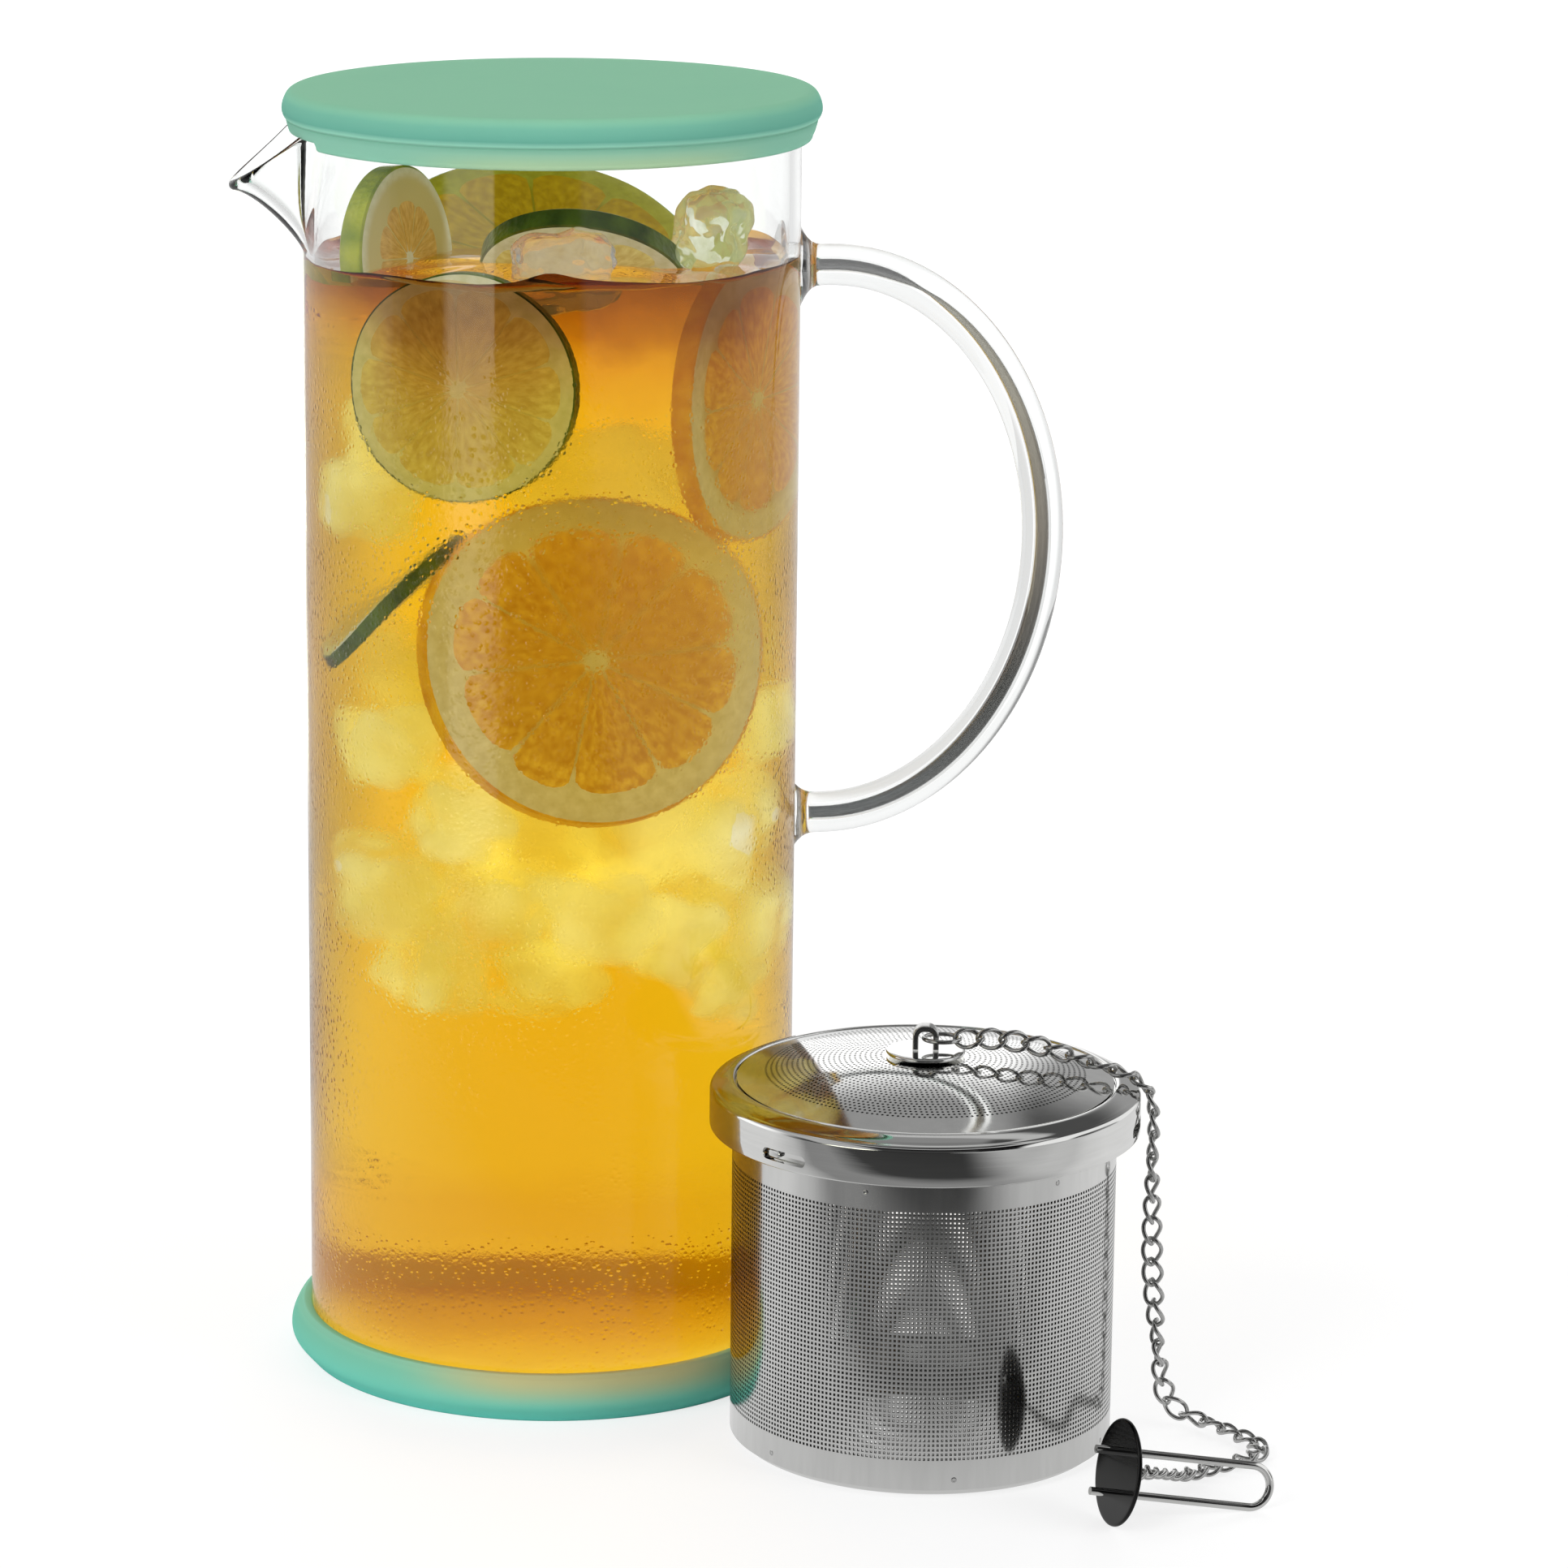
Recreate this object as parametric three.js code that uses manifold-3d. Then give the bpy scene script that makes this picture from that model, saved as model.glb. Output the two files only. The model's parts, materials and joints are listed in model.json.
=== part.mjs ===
// Iced tea maker: a tall glass jug with a silicone cap and boot, and a steel tea infuser
// that stands beside it with a chain and a clip.
// Millimetres, +Z up. The origin is the centre of the boot's underside, on the jug's axis.
// The spout points to -X and the handle to +X.
import * as THREE from 'three';
import { mergeVertices } from 'three/addons/utils/BufferGeometryUtils.js';
import Module from 'manifold-3d';

const wasm = await Module();
wasm.setup();

// Clearances
const seatGap = 0.3;          // between pieces that rest on or wrap each other
const overrun = 1.5;          // how far a cut runs past the piece it cuts

// Jug glass
const glassRadius = 48.5;
const glassWall = 2.2;
const glassFloor = 3.6;
const glassHeelRadius = 7;
const rimHeight = 252;
const spoutReach = 14.6;      // tip beyond the wall
const spoutDrop = 14.8;       // tip below the rim
const spoutDepth = 28.5;      // root below the rim
const spoutRimSpread = 20;    // half angle of the spout at the rim, degrees
const spoutRootSpread = 9;    // half angle at its root, degrees
const spoutHold = 1.15;       // above 1, the rim dips before it turns outward

// Glass handle
const rodDiameter = 8.2;
const handleSpan = 110.6;     // between the two arms' centres
const handleMiddle = 164.2;   // height of the grip's middle
const handleArm = 6.2;        // straight run of each arm beyond the wall
const handleBow = 44;         // how far the bow reaches past the arms
const upperWeldRadius = 8.8;
const lowerWeldRadius = 6.9;
const weldLength = 4.6;

// Silicone boot
const bootReach = 4.1;        // widest part beyond the glass
const bootFootReach = 1.1;
const bootLipReach = 1.9;
const bootHeight = 9.6;
const bootFloor = 2.6;

// Silicone cap
const capCrestReach = 3.9;    // crest beyond the glass
const capTopReach = 1.5;
const capSkirtReach = 2.1;
const capHeight = 9.9;
const capPlate = 2.9;
const capCrestDrop = 4.1;     // crest below the top face
const capLedgeDrop = 5.7;     // underside of the crest below the top face
const plugDepth = 5.8;
const plugWall = 2;
const plugPlay = 0.5;         // between the plug ring and the bore
const notchRimSpread = 20;    // half angle of the pouring notch under the crest, degrees
const notchFootSpread = 28;   // half angle at the skirt's edge, degrees
const reliefWall = 1.4;       // silicone left outside the relief above the notch

// Infuser basket
const standGap = 0.9;         // between the jug's glass and the infuser's lid
const standBearing = -45.18;  // direction of the infuser from the jug's axis, degrees
const lidOverhang = 4.4;      // lid ring beyond the basket's wall
const sheet = 0.5;
const basketHem = 1.7;        // height of the wall's lower edge
const basketTop = 62;         // height of the wall's upper edge
const panHeight = 6.8;
const panCorner = 2.1;
const collarSleeve = 4.8;     // how far the collar reaches down inside the wall
const weldCount = 6;

// Infuser lid
const lidRadius = 41.25;
const lidFoot = 62.5;         // height of the lid ring's lower edge
const lidShoulder = 70.5;     // height where the ring's top meets its side
const ringWall = 1.2;
const ringCorner = 1.2;
const ringHem = 0.4;
const ringFace = 4.85;        // from the ring's side to its inner edge, where the dome shows
const seamHeight = 71.9;
const ringLip = 0.5;          // rounding of that inner edge
const domeTop = 76.5;
const domeRim = 2.4;          // the dome's flat rim beneath the ring
const lugCount = 3;
const slotLength = 10.5;
const slotHeight = 2.2;
const slotMiddle = 65;
const slotBearing = -148.3;   // direction of the first slot's near end from the infuser's axis, degrees
const lugWidth = 3.2;
const lugHeight = 1.4;
const lugReach = 0.85;        // how far a lug stands out of the collar
const entrySkin = 0.5;        // metal left outside the hidden entry channel

// Chain bracket
const chainBearing = -11.3;   // direction in which the chain leaves the axis, degrees
const plateRadius = 7.6;
const plateThickness = 0.7;
const bracketSpan = 5;
const bracketHeight = 4.6;
const bracketWidth = 3.2;
const bracketStrap = 1.1;

// Chain
const chainCount = 41;
const chainWire = 0.85;
const linkWidth = 4.4;
const linkTwist = 45;         // twist of each end of a link against its middle, degrees
const ringWidth = 6.9;        // outer width of the oval ring on the bracket
const ringReach = 7.05;       // far end of that ring from the axis
const eyeletReach = 2.7;      // how far the clip's eyelet stands out
const eyeletRadius = 1.5;     // of the middle of its wire

// Clip
const discRadius = 10.1;
const discThickness = 0.8;
const clipWire = 1.6;
const clipSpan = 7.9;         // between the hairpin's legs
const clipLength = 26.9;      // from the disc to the centre of the hairpin's bend
const clipTail = 5.2;         // wire left of the disc
const clipBearing = 7.8;      // direction of the hairpin on the table, degrees
const clipLean = 10.3;        // how far the disc leans back, degrees
const clipPlaceShares = [0.6594, -1.2897];   // the disc's centre from the infuser's axis, by the lid's radius

// Facets
const jugSteps = 48;
const infuserSteps = 48;
const rodSteps = 10;
const cornerSteps = 3;
const spoutRows = 6;
const seamCrowding = 0.36;    // how much closer the jug's facets stand at the spout

const materials = {
  glass: { color: 0xe9f1f0, roughness: 0.04, metalness: 0 },
  silicone: { color: 0x7cc3a6, roughness: 0.55, metalness: 0 },
  steel: { color: 0xc9cbcc, roughness: 0.2, metalness: 1 },
  darkSteel: { color: 0x8d8f90, roughness: 0.28, metalness: 1 },
};

const radians = THREE.MathUtils.degToRad;
const lerp = THREE.MathUtils.lerp;
const point = (radius, height) => new THREE.Vector2(radius, height);

// A round arc in a profile, from one direction to another, in degrees from outward
function arc(radius, height, size, from, to, steps = cornerSteps) {
  return Array.from({ length: steps + 1 }, (_, i) => {
    const angle = radians(lerp(from, to, i / steps));
    return point(radius + size * Math.cos(angle), height + size * Math.sin(angle));
  });
}

// A profile turned about the Z axis
function turned(profile, steps) {
  return new THREE.LatheGeometry(profile, steps).rotateX(Math.PI / 2);
}

function toSolid(geometry) {
  const bare = geometry.clone();
  bare.deleteAttribute('normal');
  bare.deleteAttribute('uv');
  const merged = mergeVertices(bare);
  const corners = merged.index.array;
  const kept = [];
  for (let i = 0; i < corners.length; i += 3) {
    const [a, b, c] = [corners[i], corners[i + 1], corners[i + 2]];
    if (a !== b && b !== c && c !== a) kept.push(a, b, c);
  }
  return new wasm.Manifold(new wasm.Mesh({
    numProp: 3,
    vertProperties: new Float32Array(merged.attributes.position.array),
    triVerts: new Uint32Array(kept),
  }));
}

function toGeometry(solid) {
  const mesh = solid.getMesh();
  const geometry = new THREE.BufferGeometry();
  geometry.setAttribute('position', new THREE.BufferAttribute(new Float32Array(mesh.vertProperties), 3));
  geometry.setIndex(new THREE.BufferAttribute(new Uint32Array(mesh.triVerts), 1));
  return geometry;
}

function cut(geometry, cutters) {
  return toGeometry(cutters.reduce((body, cutter) => body.subtract(toSolid(cutter)), toSolid(geometry)));
}

function join(geometries) {
  const [first, ...others] = geometries.map(toSolid);
  return toGeometry(others.reduce((body, other) => body.add(other), first));
}

function mesh(name, geometry, finish) {
  const piece = new THREE.Mesh(geometry, new THREE.MeshStandardMaterial(finish));
  piece.name = name;
  return piece;
}

// A round wire along a curve, closed at both ends
function rod(curve, diameter, steps, sides = rodSteps) {
  const section = new THREE.Shape(
    Array.from({ length: sides }, (_, i) => {
      const angle = 2 * Math.PI * i / sides;
      return point(diameter / 2 * Math.cos(angle), diameter / 2 * Math.sin(angle));
    }));
  return new THREE.ExtrudeGeometry(section, { extrudePath: curve, steps, bevelEnabled: false });
}

// Jug glass
const glassBottom = bootFloor + seatGap;
const glassInner = glassRadius - glassWall;
const spoutRoot = rimHeight - spoutDepth;
const rimRound = glassWall / 2;

// The spout's underside, from the wall out to the tip
const spoutCurve = new THREE.CubicBezierCurve(
  point(glassRadius, spoutRoot),
  point(glassRadius + 0.04 * spoutReach, lerp(spoutRoot, rimHeight, 0.1)),
  point(glassRadius + 0.62 * spoutReach, rimHeight - spoutDrop - 0.8 * glassWall),
  point(glassRadius + spoutReach - rimRound, rimHeight - spoutDrop - rimRound),
);

// One height of the jug: its place on the plain wall and on the spout's middle line
function jugRow(share, inward) {
  const edge = spoutCurve.getPoint(share);
  const along = spoutCurve.getTangent(share);
  return {
    share,
    wall: point(glassRadius - inward, lerp(spoutRoot, rimHeight - rimRound, share)),
    spout: point(edge.x - inward * along.y, edge.y + inward * along.x),
  };
}

// The rounded rim, turned from the outer face to the inner one
function rimRow(turn) {
  const edge = spoutCurve.getPoint(1);
  const along = spoutCurve.getTangent(1);
  const across = rimRound * (1 - Math.cos(turn));
  const beyond = rimRound * Math.sin(turn);
  return {
    share: 1,
    wall: point(glassRadius - across, rimHeight - rimRound + beyond),
    spout: point(edge.x - across * along.y + beyond * along.x, edge.y + across * along.x + beyond * along.y),
  };
}

function glassBody() {
  const plain = (at) => ({ share: 0, wall: at, spout: at });
  const shares = Array.from({ length: spoutRows + 1 }, (_, i) => i / spoutRows);
  const turns = Array.from({ length: cornerSteps }, (_, i) => Math.PI * (i + 1) / (cornerSteps + 1));
  const heel = arc(glassRadius - glassHeelRadius, glassBottom + glassHeelRadius, glassHeelRadius, -90, 0);
  const innerHeelRadius = glassHeelRadius - glassWall;
  const innerHeel = arc(glassInner - innerHeelRadius, glassBottom + glassFloor + innerHeelRadius,
    innerHeelRadius, 0, -90);
  const rows = [
    plain(point(0, glassBottom)),
    ...heel.map(plain),
    ...shares.map((share) => jugRow(share, 0)),
    ...turns.map(rimRow),
    ...shares.toReversed().map((share) => jugRow(share, glassWall)),
    ...innerHeel.map(plain),
    plain(point(0, glassBottom + glassFloor)),
  ];
  const geometry = turned(rows.map((row) => row.wall), jugSteps);
  const place = geometry.attributes.position;
  for (let i = 0; i < place.count; i++) {
    const row = rows[i % rows.length];
    const even = Math.atan2(place.getY(i), -place.getX(i));
    const angle = even - seamCrowding * Math.sin(even);
    const spread = radians(lerp(spoutRootSpread, spoutRimSpread, row.share));
    const pull = Math.abs(angle) < spread ? Math.cos(Math.PI / 2 * angle / spread) ** 2 : 0;
    const radius = lerp(row.wall.x, row.spout.x, pull ** spoutHold);
    place.setXYZ(i, -radius * Math.cos(angle), radius * Math.sin(angle), lerp(row.wall.y, row.spout.y, pull));
  }
  return geometry;
}

// Glass handle: two straight arms and half an ellipse, with a flared weld at each end
function weld(radius, height) {
  const profile = [
    point(0, -glassWall),
    point(radius, -glassWall),
    ...arc(radius, weldLength, radius - rodDiameter / 2, -90, -180, cornerSteps)
      .map((at) => point(at.x, lerp(0, weldLength, 1 + (at.y - weldLength) / (radius - rodDiameter / 2)))),
    point(0, weldLength),
  ];
  return new THREE.LatheGeometry(profile, 2 * rodSteps).rotateZ(-Math.PI / 2)
    .translate(glassRadius, 0, height);
}

function glassHandle() {
  const arms = glassRadius + handleArm;
  const top = handleMiddle + handleSpan / 2;
  const bottom = handleMiddle - handleSpan / 2;
  const bow = Array.from({ length: 13 }, (_, i) => {
    const angle = Math.PI * (0.5 - i / 12);
    return new THREE.Vector3(arms + handleBow * Math.cos(angle), 0,
      handleMiddle + handleSpan / 2 * Math.sin(angle));
  });
  const path = new THREE.CatmullRomCurve3([
    new THREE.Vector3(glassInner, 0, top),
    new THREE.Vector3(glassRadius, 0, top),
    ...bow,
    new THREE.Vector3(glassRadius, 0, bottom),
    new THREE.Vector3(glassInner, 0, bottom),
  ], false, 'centripetal');
  const wall = new THREE.CylinderGeometry(glassRadius + seatGap, glassRadius + seatGap, rimHeight, 2 * jugSteps)
    .rotateX(Math.PI / 2).translate(0, 0, rimHeight / 2);
  const blank = join([rod(path, rodDiameter, 34), weld(upperWeldRadius, top), weld(lowerWeldRadius, bottom)]);
  return cut(blank, [wall]);
}

// Silicone boot: a cup that hugs the foot of the glass
const bootRadius = glassRadius + bootReach;
const bootFootRadius = glassRadius + bootFootReach;
const bootLipRadius = glassRadius + bootLipReach;

function siliconeBase() {
  const inner = glassRadius + seatGap;
  const heelRadius = glassHeelRadius + seatGap;
  const bulge = bootRadius - bootFootRadius;
  const lip = (bootLipRadius - inner) / 2;
  return turned([
    point(0, 0),
    point(bootFootRadius, 0),
    ...arc(bootFootRadius, 1.4 * bulge, bulge, -60, 0).map((at) => point(at.x, at.y * 1.05)),
    point(lerp(bootRadius, bootLipRadius, 0.3), 0.76 * bootHeight),
    ...arc(bootLipRadius - lip, bootHeight - lip, lip, 20, 160),
    ...arc(inner - heelRadius, bootFloor + heelRadius, heelRadius, 0, -90).slice(1),
    point(0, bootFloor),
  ], jugSteps);
}

// Silicone cap: a plate with an outer skirt over the glass, a plug ring inside it and a pouring notch
const capCrestRadius = glassRadius + capCrestReach;
const capTopRadius = glassRadius + capTopReach;
const capSkirtRadius = glassRadius + capSkirtReach;

function siliconeLid() {
  const underside = rimHeight + seatGap;
  const top = underside + capPlate;
  const foot = top - capHeight;
  const ledge = top - capLedgeDrop;
  const skirtInner = glassRadius + seatGap;
  const skirtRound = (capSkirtRadius - skirtInner) / 2;
  const plugOuter = glassInner - plugPlay;
  const shell = turned([
    point(0, underside),
    point(plugOuter - plugWall, underside),
    point(plugOuter - plugWall, underside - plugDepth),
    point(plugOuter, underside - plugDepth),
    point(plugOuter, underside),
    point(skirtInner, underside),
    point(skirtInner, foot + skirtRound),
    ...arc(capSkirtRadius - skirtRound, foot + skirtRound, skirtRound, -135, 0, 2),
    point(capSkirtRadius, ledge - skirtRound),
    point(lerp(capSkirtRadius, capCrestRadius, 0.75), lerp(ledge, top - capCrestDrop, 0.3)),
    point(capCrestRadius, top - capCrestDrop),
    point(lerp(capTopRadius, capCrestRadius, 0.93), lerp(top - capCrestDrop, top, 0.3)),
    point(lerp(capTopRadius, capCrestRadius, 0.6), lerp(top - capCrestDrop, top, 0.7)),
    point(capTopRadius, top),
    point(0, top),
  ], jugSteps);
  const halfHead = capSkirtRadius * Math.sin(radians(notchRimSpread));
  const halfFoot = capSkirtRadius * Math.sin(radians(notchFootSpread));
  const notch = new THREE.Shape([
    point(-halfFoot, foot - overrun),
    point(halfFoot, foot - overrun),
    point(halfFoot, foot),
    point(halfHead, ledge),
    point(-halfHead, ledge),
    point(-halfFoot, foot),
  ]);
  // the outline lies across the spout, so the cut runs outward along -X
  const cutter = new THREE.ExtrudeGeometry(notch, { depth: glassRadius, bevelEnabled: false })
    .rotateX(Math.PI / 2).rotateZ(-Math.PI / 2).translate(-glassInner + glassHeelRadius, 0, 0);
  // a relief behind the crest lets the rim of the glass turn out into the spout
  const spread = radians(notchRimSpread);
  const relief = new THREE.Shape()
    .absarc(0, 0, capCrestRadius - reliefWall, Math.PI - spread, Math.PI + spread, false)
    .absarc(0, 0, glassInner + seatGap, Math.PI + spread, Math.PI - spread, true);
  const reliefCutter = new THREE.ExtrudeGeometry(relief,
    { depth: underside - foot, bevelEnabled: false, curveSegments: 2 * cornerSteps }).translate(0, 0, foot);
  return cut(shell, [cutter, reliefCutter]);
}

// Infuser basket: a rolled wall, a pan for its floor and a collar that carries the lid's lugs
const basketRadius = lidRadius - lidOverhang;
const wallInner = basketRadius - sheet;
const sleeveRadius = wallInner - seatGap;

function basketWall() {
  return turned([
    point(wallInner, basketHem),
    point(basketRadius, basketHem),
    point(basketRadius, basketTop),
    point(wallInner, basketTop),
    point(wallInner, basketHem),
  ], infuserSteps);
}

function basketFloor() {
  return turned([
    point(0, 0),
    ...arc(sleeveRadius - panCorner, panCorner, panCorner, -90, 0),
    point(sleeveRadius, panHeight),
    point(sleeveRadius - sheet, panHeight),
    ...arc(sleeveRadius - panCorner, panCorner, panCorner - sheet, 0, -90),
    point(0, sheet),
  ], infuserSteps);
}

const ringBore = lidRadius - ringWall;
const collarRadius = ringBore - seatGap;
const ringSeat = lidShoulder - 0.6 * ringWall;
const collarTop = ringSeat - seatGap;
const slotTurn = slotLength / lidRadius;
const lugTurn = (lugWidth / 2 + 2 * seatGap) / lidRadius;

// Bearings of the lugs at rest, each at the near end of its slot
const lugBearings = Array.from({ length: lugCount },
  (_, i) => radians(slotBearing + 360 * i / lugCount) + lugTurn);

// A block that points outward at a bearing
function radialBlock(bearing, from, to, width, low, high) {
  return new THREE.BoxGeometry(to - from, width, high - low)
    .translate((from + to) / 2, 0, (low + high) / 2).rotateZ(bearing);
}

function basketCollar() {
  const shelf = basketTop + seatGap;
  const band = turned([
    point(sleeveRadius - sheet, basketTop - collarSleeve),
    point(sleeveRadius, basketTop - collarSleeve),
    point(sleeveRadius, shelf),
    point(collarRadius, shelf),
    point(collarRadius, collarTop),
    point(collarRadius - sheet, collarTop),
    point(collarRadius - sheet, shelf + sheet),
    point(sleeveRadius - sheet, shelf + sheet),
    point(sleeveRadius - sheet, basketTop - collarSleeve),
  ], infuserSteps);
  const lugs = lugBearings.map((bearing) => radialBlock(bearing, collarRadius - 0.8 * sheet,
    collarRadius + lugReach, lugWidth, slotMiddle - lugHeight / 2, slotMiddle + lugHeight / 2));
  return join([band, ...lugs]);
}

// Infuser lid: a ring with bayonet slots, and a dome seated under its inner edge
const seamRadius = lidRadius - ringFace;
const recess = seamHeight - 2 * ringLip;
const domeRimRadius = seamRadius + domeRim;

function lidRing() {
  const band = turned([
    point(ringBore + ringHem, lidFoot),
    point(lidRadius - ringHem, lidFoot),
    point(lidRadius, lidFoot + ringHem),
    ...arc(lidRadius - ringCorner, lidShoulder - ringCorner, ringCorner, 0, 80),
    point(lerp(lidRadius - ringCorner, seamRadius, 0.5), lerp(lidShoulder, seamHeight, 0.58)),
    ...arc(seamRadius + ringLip, seamHeight - ringLip, ringLip, 80, 180, 2),
    point(seamRadius, recess),
    point(domeRimRadius + seatGap, recess),
    point(domeRimRadius + seatGap, ringSeat),
    point(ringBore, ringSeat),
    point(ringBore, lidFoot + ringHem),
    point(ringBore + ringHem, lidFoot),
  ], infuserSteps);
  const outline = new THREE.Shape()
    .moveTo(-slotLength / 2 + slotHeight / 2, -slotHeight / 2)
    .lineTo(slotLength / 2 - slotHeight / 2, -slotHeight / 2)
    .absarc(slotLength / 2 - slotHeight / 2, 0, slotHeight / 2, -Math.PI / 2, Math.PI / 2, false)
    .lineTo(-slotLength / 2 + slotHeight / 2, slotHeight / 2)
    .absarc(-slotLength / 2 + slotHeight / 2, 0, slotHeight / 2, Math.PI / 2, 3 * Math.PI / 2, false);
  const depth = ringWall + 2 * overrun;
  const slots = lugBearings.map((bearing) => new THREE.ExtrudeGeometry(outline,
    { depth, bevelEnabled: false, curveSegments: 2 * cornerSteps })
    .rotateX(Math.PI / 2).rotateZ(Math.PI / 2).translate(ringBore - overrun, 0, slotMiddle)
    .rotateZ(bearing - lugTurn + slotTurn / 2));
  const entries = lugBearings.map((bearing) => radialBlock(bearing, ringBore - overrun,
    lidRadius - entrySkin, lugWidth + 2 * seatGap, lidFoot - overrun, slotMiddle));
  return cut(band, [...slots, ...entries]);
}

// Height of the dome's outer face at a distance from its axis
const domeEdge = seamRadius - seatGap;
const domeEdgeHeight = seamHeight - 0.3 * ringLip;
const domeFace = (radius) => lerp(domeTop, domeEdgeHeight, (radius / domeEdge) ** 2);

function lidDome() {
  const rimTop = recess - seatGap;
  const stationShares = [0, 0.3, 0.55, 0.8, 1];
  return turned([
    ...stationShares.map((share) => point(share * (domeEdge - sheet), domeFace(share * domeEdge) - sheet)),
    point(domeEdge - sheet, rimTop - sheet),
    point(domeRimRadius, rimTop - sheet),
    point(domeRimRadius, rimTop),
    point(domeEdge, rimTop),
    ...stationShares.toReversed().map((share) => point(share * domeEdge, domeFace(share * domeEdge))),
  ], infuserSteps);
}

// Chain bracket: a round plate and a strap bent into a staple
const plateFoot = domeTop + seatGap;
const plateTop = plateFoot + plateThickness;
const bracketFoot = plateTop + seatGap;
const bracketTop = bracketFoot + bracketHeight;
const runHeight = bracketFoot + 0.42 * bracketHeight;

function bracketPlate() {
  return new THREE.CylinderGeometry(plateRadius, plateRadius, plateThickness, infuserSteps / 2)
    .rotateX(Math.PI / 2).translate(0, 0, plateFoot + plateThickness / 2);
}

function chainBracket() {
  const half = bracketSpan / 2;
  const bend = 2 * bracketStrap;
  const strap = new THREE.Shape()
    .moveTo(-half, 0)
    .lineTo(-half + bracketStrap, 0)
    .lineTo(-half + bracketStrap, bracketHeight - bend)
    .absarc(-half + bend, bracketHeight - bend, bend - bracketStrap, Math.PI, Math.PI / 2, true)
    .absarc(half - bend, bracketHeight - bend, bend - bracketStrap, Math.PI / 2, 0, true)
    .lineTo(half - bracketStrap, 0)
    .lineTo(half, 0)
    .absarc(half - bend, bracketHeight - bend, bend, 0, Math.PI / 2, false)
    .absarc(-half + bend, bracketHeight - bend, bend, Math.PI / 2, Math.PI, false);
  return new THREE.ExtrudeGeometry(strap, { depth: bracketWidth, bevelEnabled: false, curveSegments: cornerSteps })
    .translate(0, 0, -bracketWidth / 2).rotateX(Math.PI / 2).translate(0, 0, bracketFoot);
}

// One link: an oval of wire whose two ends are twisted apart, lying along X
class LinkCurve extends THREE.Curve {
  constructor(halfLength, halfWidth, twist, steps) {
    super();
    // half a step of turn sets a flat facet, not a corner, at each end of the oval
    const lag = Math.PI / steps;
    Object.assign(this, { halfLength: halfLength / Math.cos(lag), halfWidth, twist, lag });
  }

  getPoint(t, target = new THREE.Vector3()) {
    const around = 2 * Math.PI * t + this.lag;
    const across = this.halfWidth * Math.sin(around);
    const turn = -this.twist * Math.cos(around);
    return target.set(this.halfLength * Math.cos(around), across * Math.cos(turn), across * Math.sin(turn));
  }
}

const linkSteps = 12;
const linkSides = 5;
const ringSteps = 16;
const hook = (chainWire + seatGap) / 2;   // from the point where two links meet to the middle of each wire
const linkCurve = (length) => new LinkCurve((length - chainWire) / 2, (linkWidth - chainWire) / 2,
  radians(linkTwist), linkSteps);
const linkThickness = Math.max(...linkCurve(linkWidth).getPoints(linkSteps).map((at) => at.z)) + chainWire / 2;

// The oval ring that joins the chain to the bracket's outer leg, lying flat
function chainRing() {
  const near = bracketSpan / 2 - bracketStrap - 2 * seatGap - chainWire;
  const oval = new LinkCurve((ringReach - near) / 2, (ringWidth - chainWire) / 2, 0, ringSteps);
  return new THREE.TubeGeometry(oval, ringSteps, chainWire / 2, linkSides + 1, true)
    .translate((ringReach - chainWire / 2 + near - chainWire / 2) / 2, 0, runHeight);
}

// The clip's own axes: out along the hairpin, and up the disc
function clipFrame() {
  const lean = radians(clipLean);
  const bearing = radians(clipBearing);
  const axesAt = (dip) => {
    const out = new THREE.Vector3(Math.cos(dip) * Math.cos(bearing), Math.cos(dip) * Math.sin(bearing), -Math.sin(dip));
    const side = new THREE.Vector3(-Math.sin(bearing), Math.cos(bearing), 0);
    const upright = new THREE.Vector3().crossVectors(out, side);
    const up = upright.multiplyScalar(Math.cos(lean)).addScaledVector(side, Math.sin(lean));
    return { out, up, across: new THREE.Vector3().crossVectors(up, out) };
  };
  const centreHeight = ({ out }) => discRadius * Math.hypot(out.x, out.y) + discThickness / 2 * Math.abs(out.z);
  const bendClearance = (axes) => centreHeight(axes) + clipLength * axes.out.z
    - clipSpan / 2 * Math.hypot(axes.out.z, axes.up.z) - clipWire / 2;
  // lower the hairpin until its bend touches the table
  let [low, high] = [0, Math.PI / 4];
  for (let i = 0; i < 40; i++) {
    const middle = (low + high) / 2;
    if (bendClearance(axesAt(middle)) > 0) low = middle;
    else high = middle;
  }
  const axes = axesAt(low);
  const [x, y] = clipPlaceShares.map((share) => share * lidRadius);
  return { ...axes, centre: new THREE.Vector3(x, y, centreHeight(axes)) };
}

const clip = clipFrame();
const clipMatrix = new THREE.Matrix4().makeBasis(clip.out, clip.up, clip.out.clone().cross(clip.up))
  .setPosition(clip.centre);

// In the clip's own frame the hairpin runs along X, its legs lie above each other in Y
function clipDisc() {
  const face = new THREE.Shape().absarc(0, 0, discRadius, 0, 2 * Math.PI, false);
  for (const side of [-1, 1]) {
    face.holes.push(new THREE.Path().absarc(0, side * clipSpan / 2, clipWire / 2 + seatGap, 0, 2 * Math.PI, true));
  }
  return new THREE.ExtrudeGeometry(face, { depth: discThickness, bevelEnabled: false, curveSegments: 16 })
    .translate(0, 0, -discThickness / 2).rotateY(Math.PI / 2).applyMatrix4(clipMatrix);
}

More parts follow.
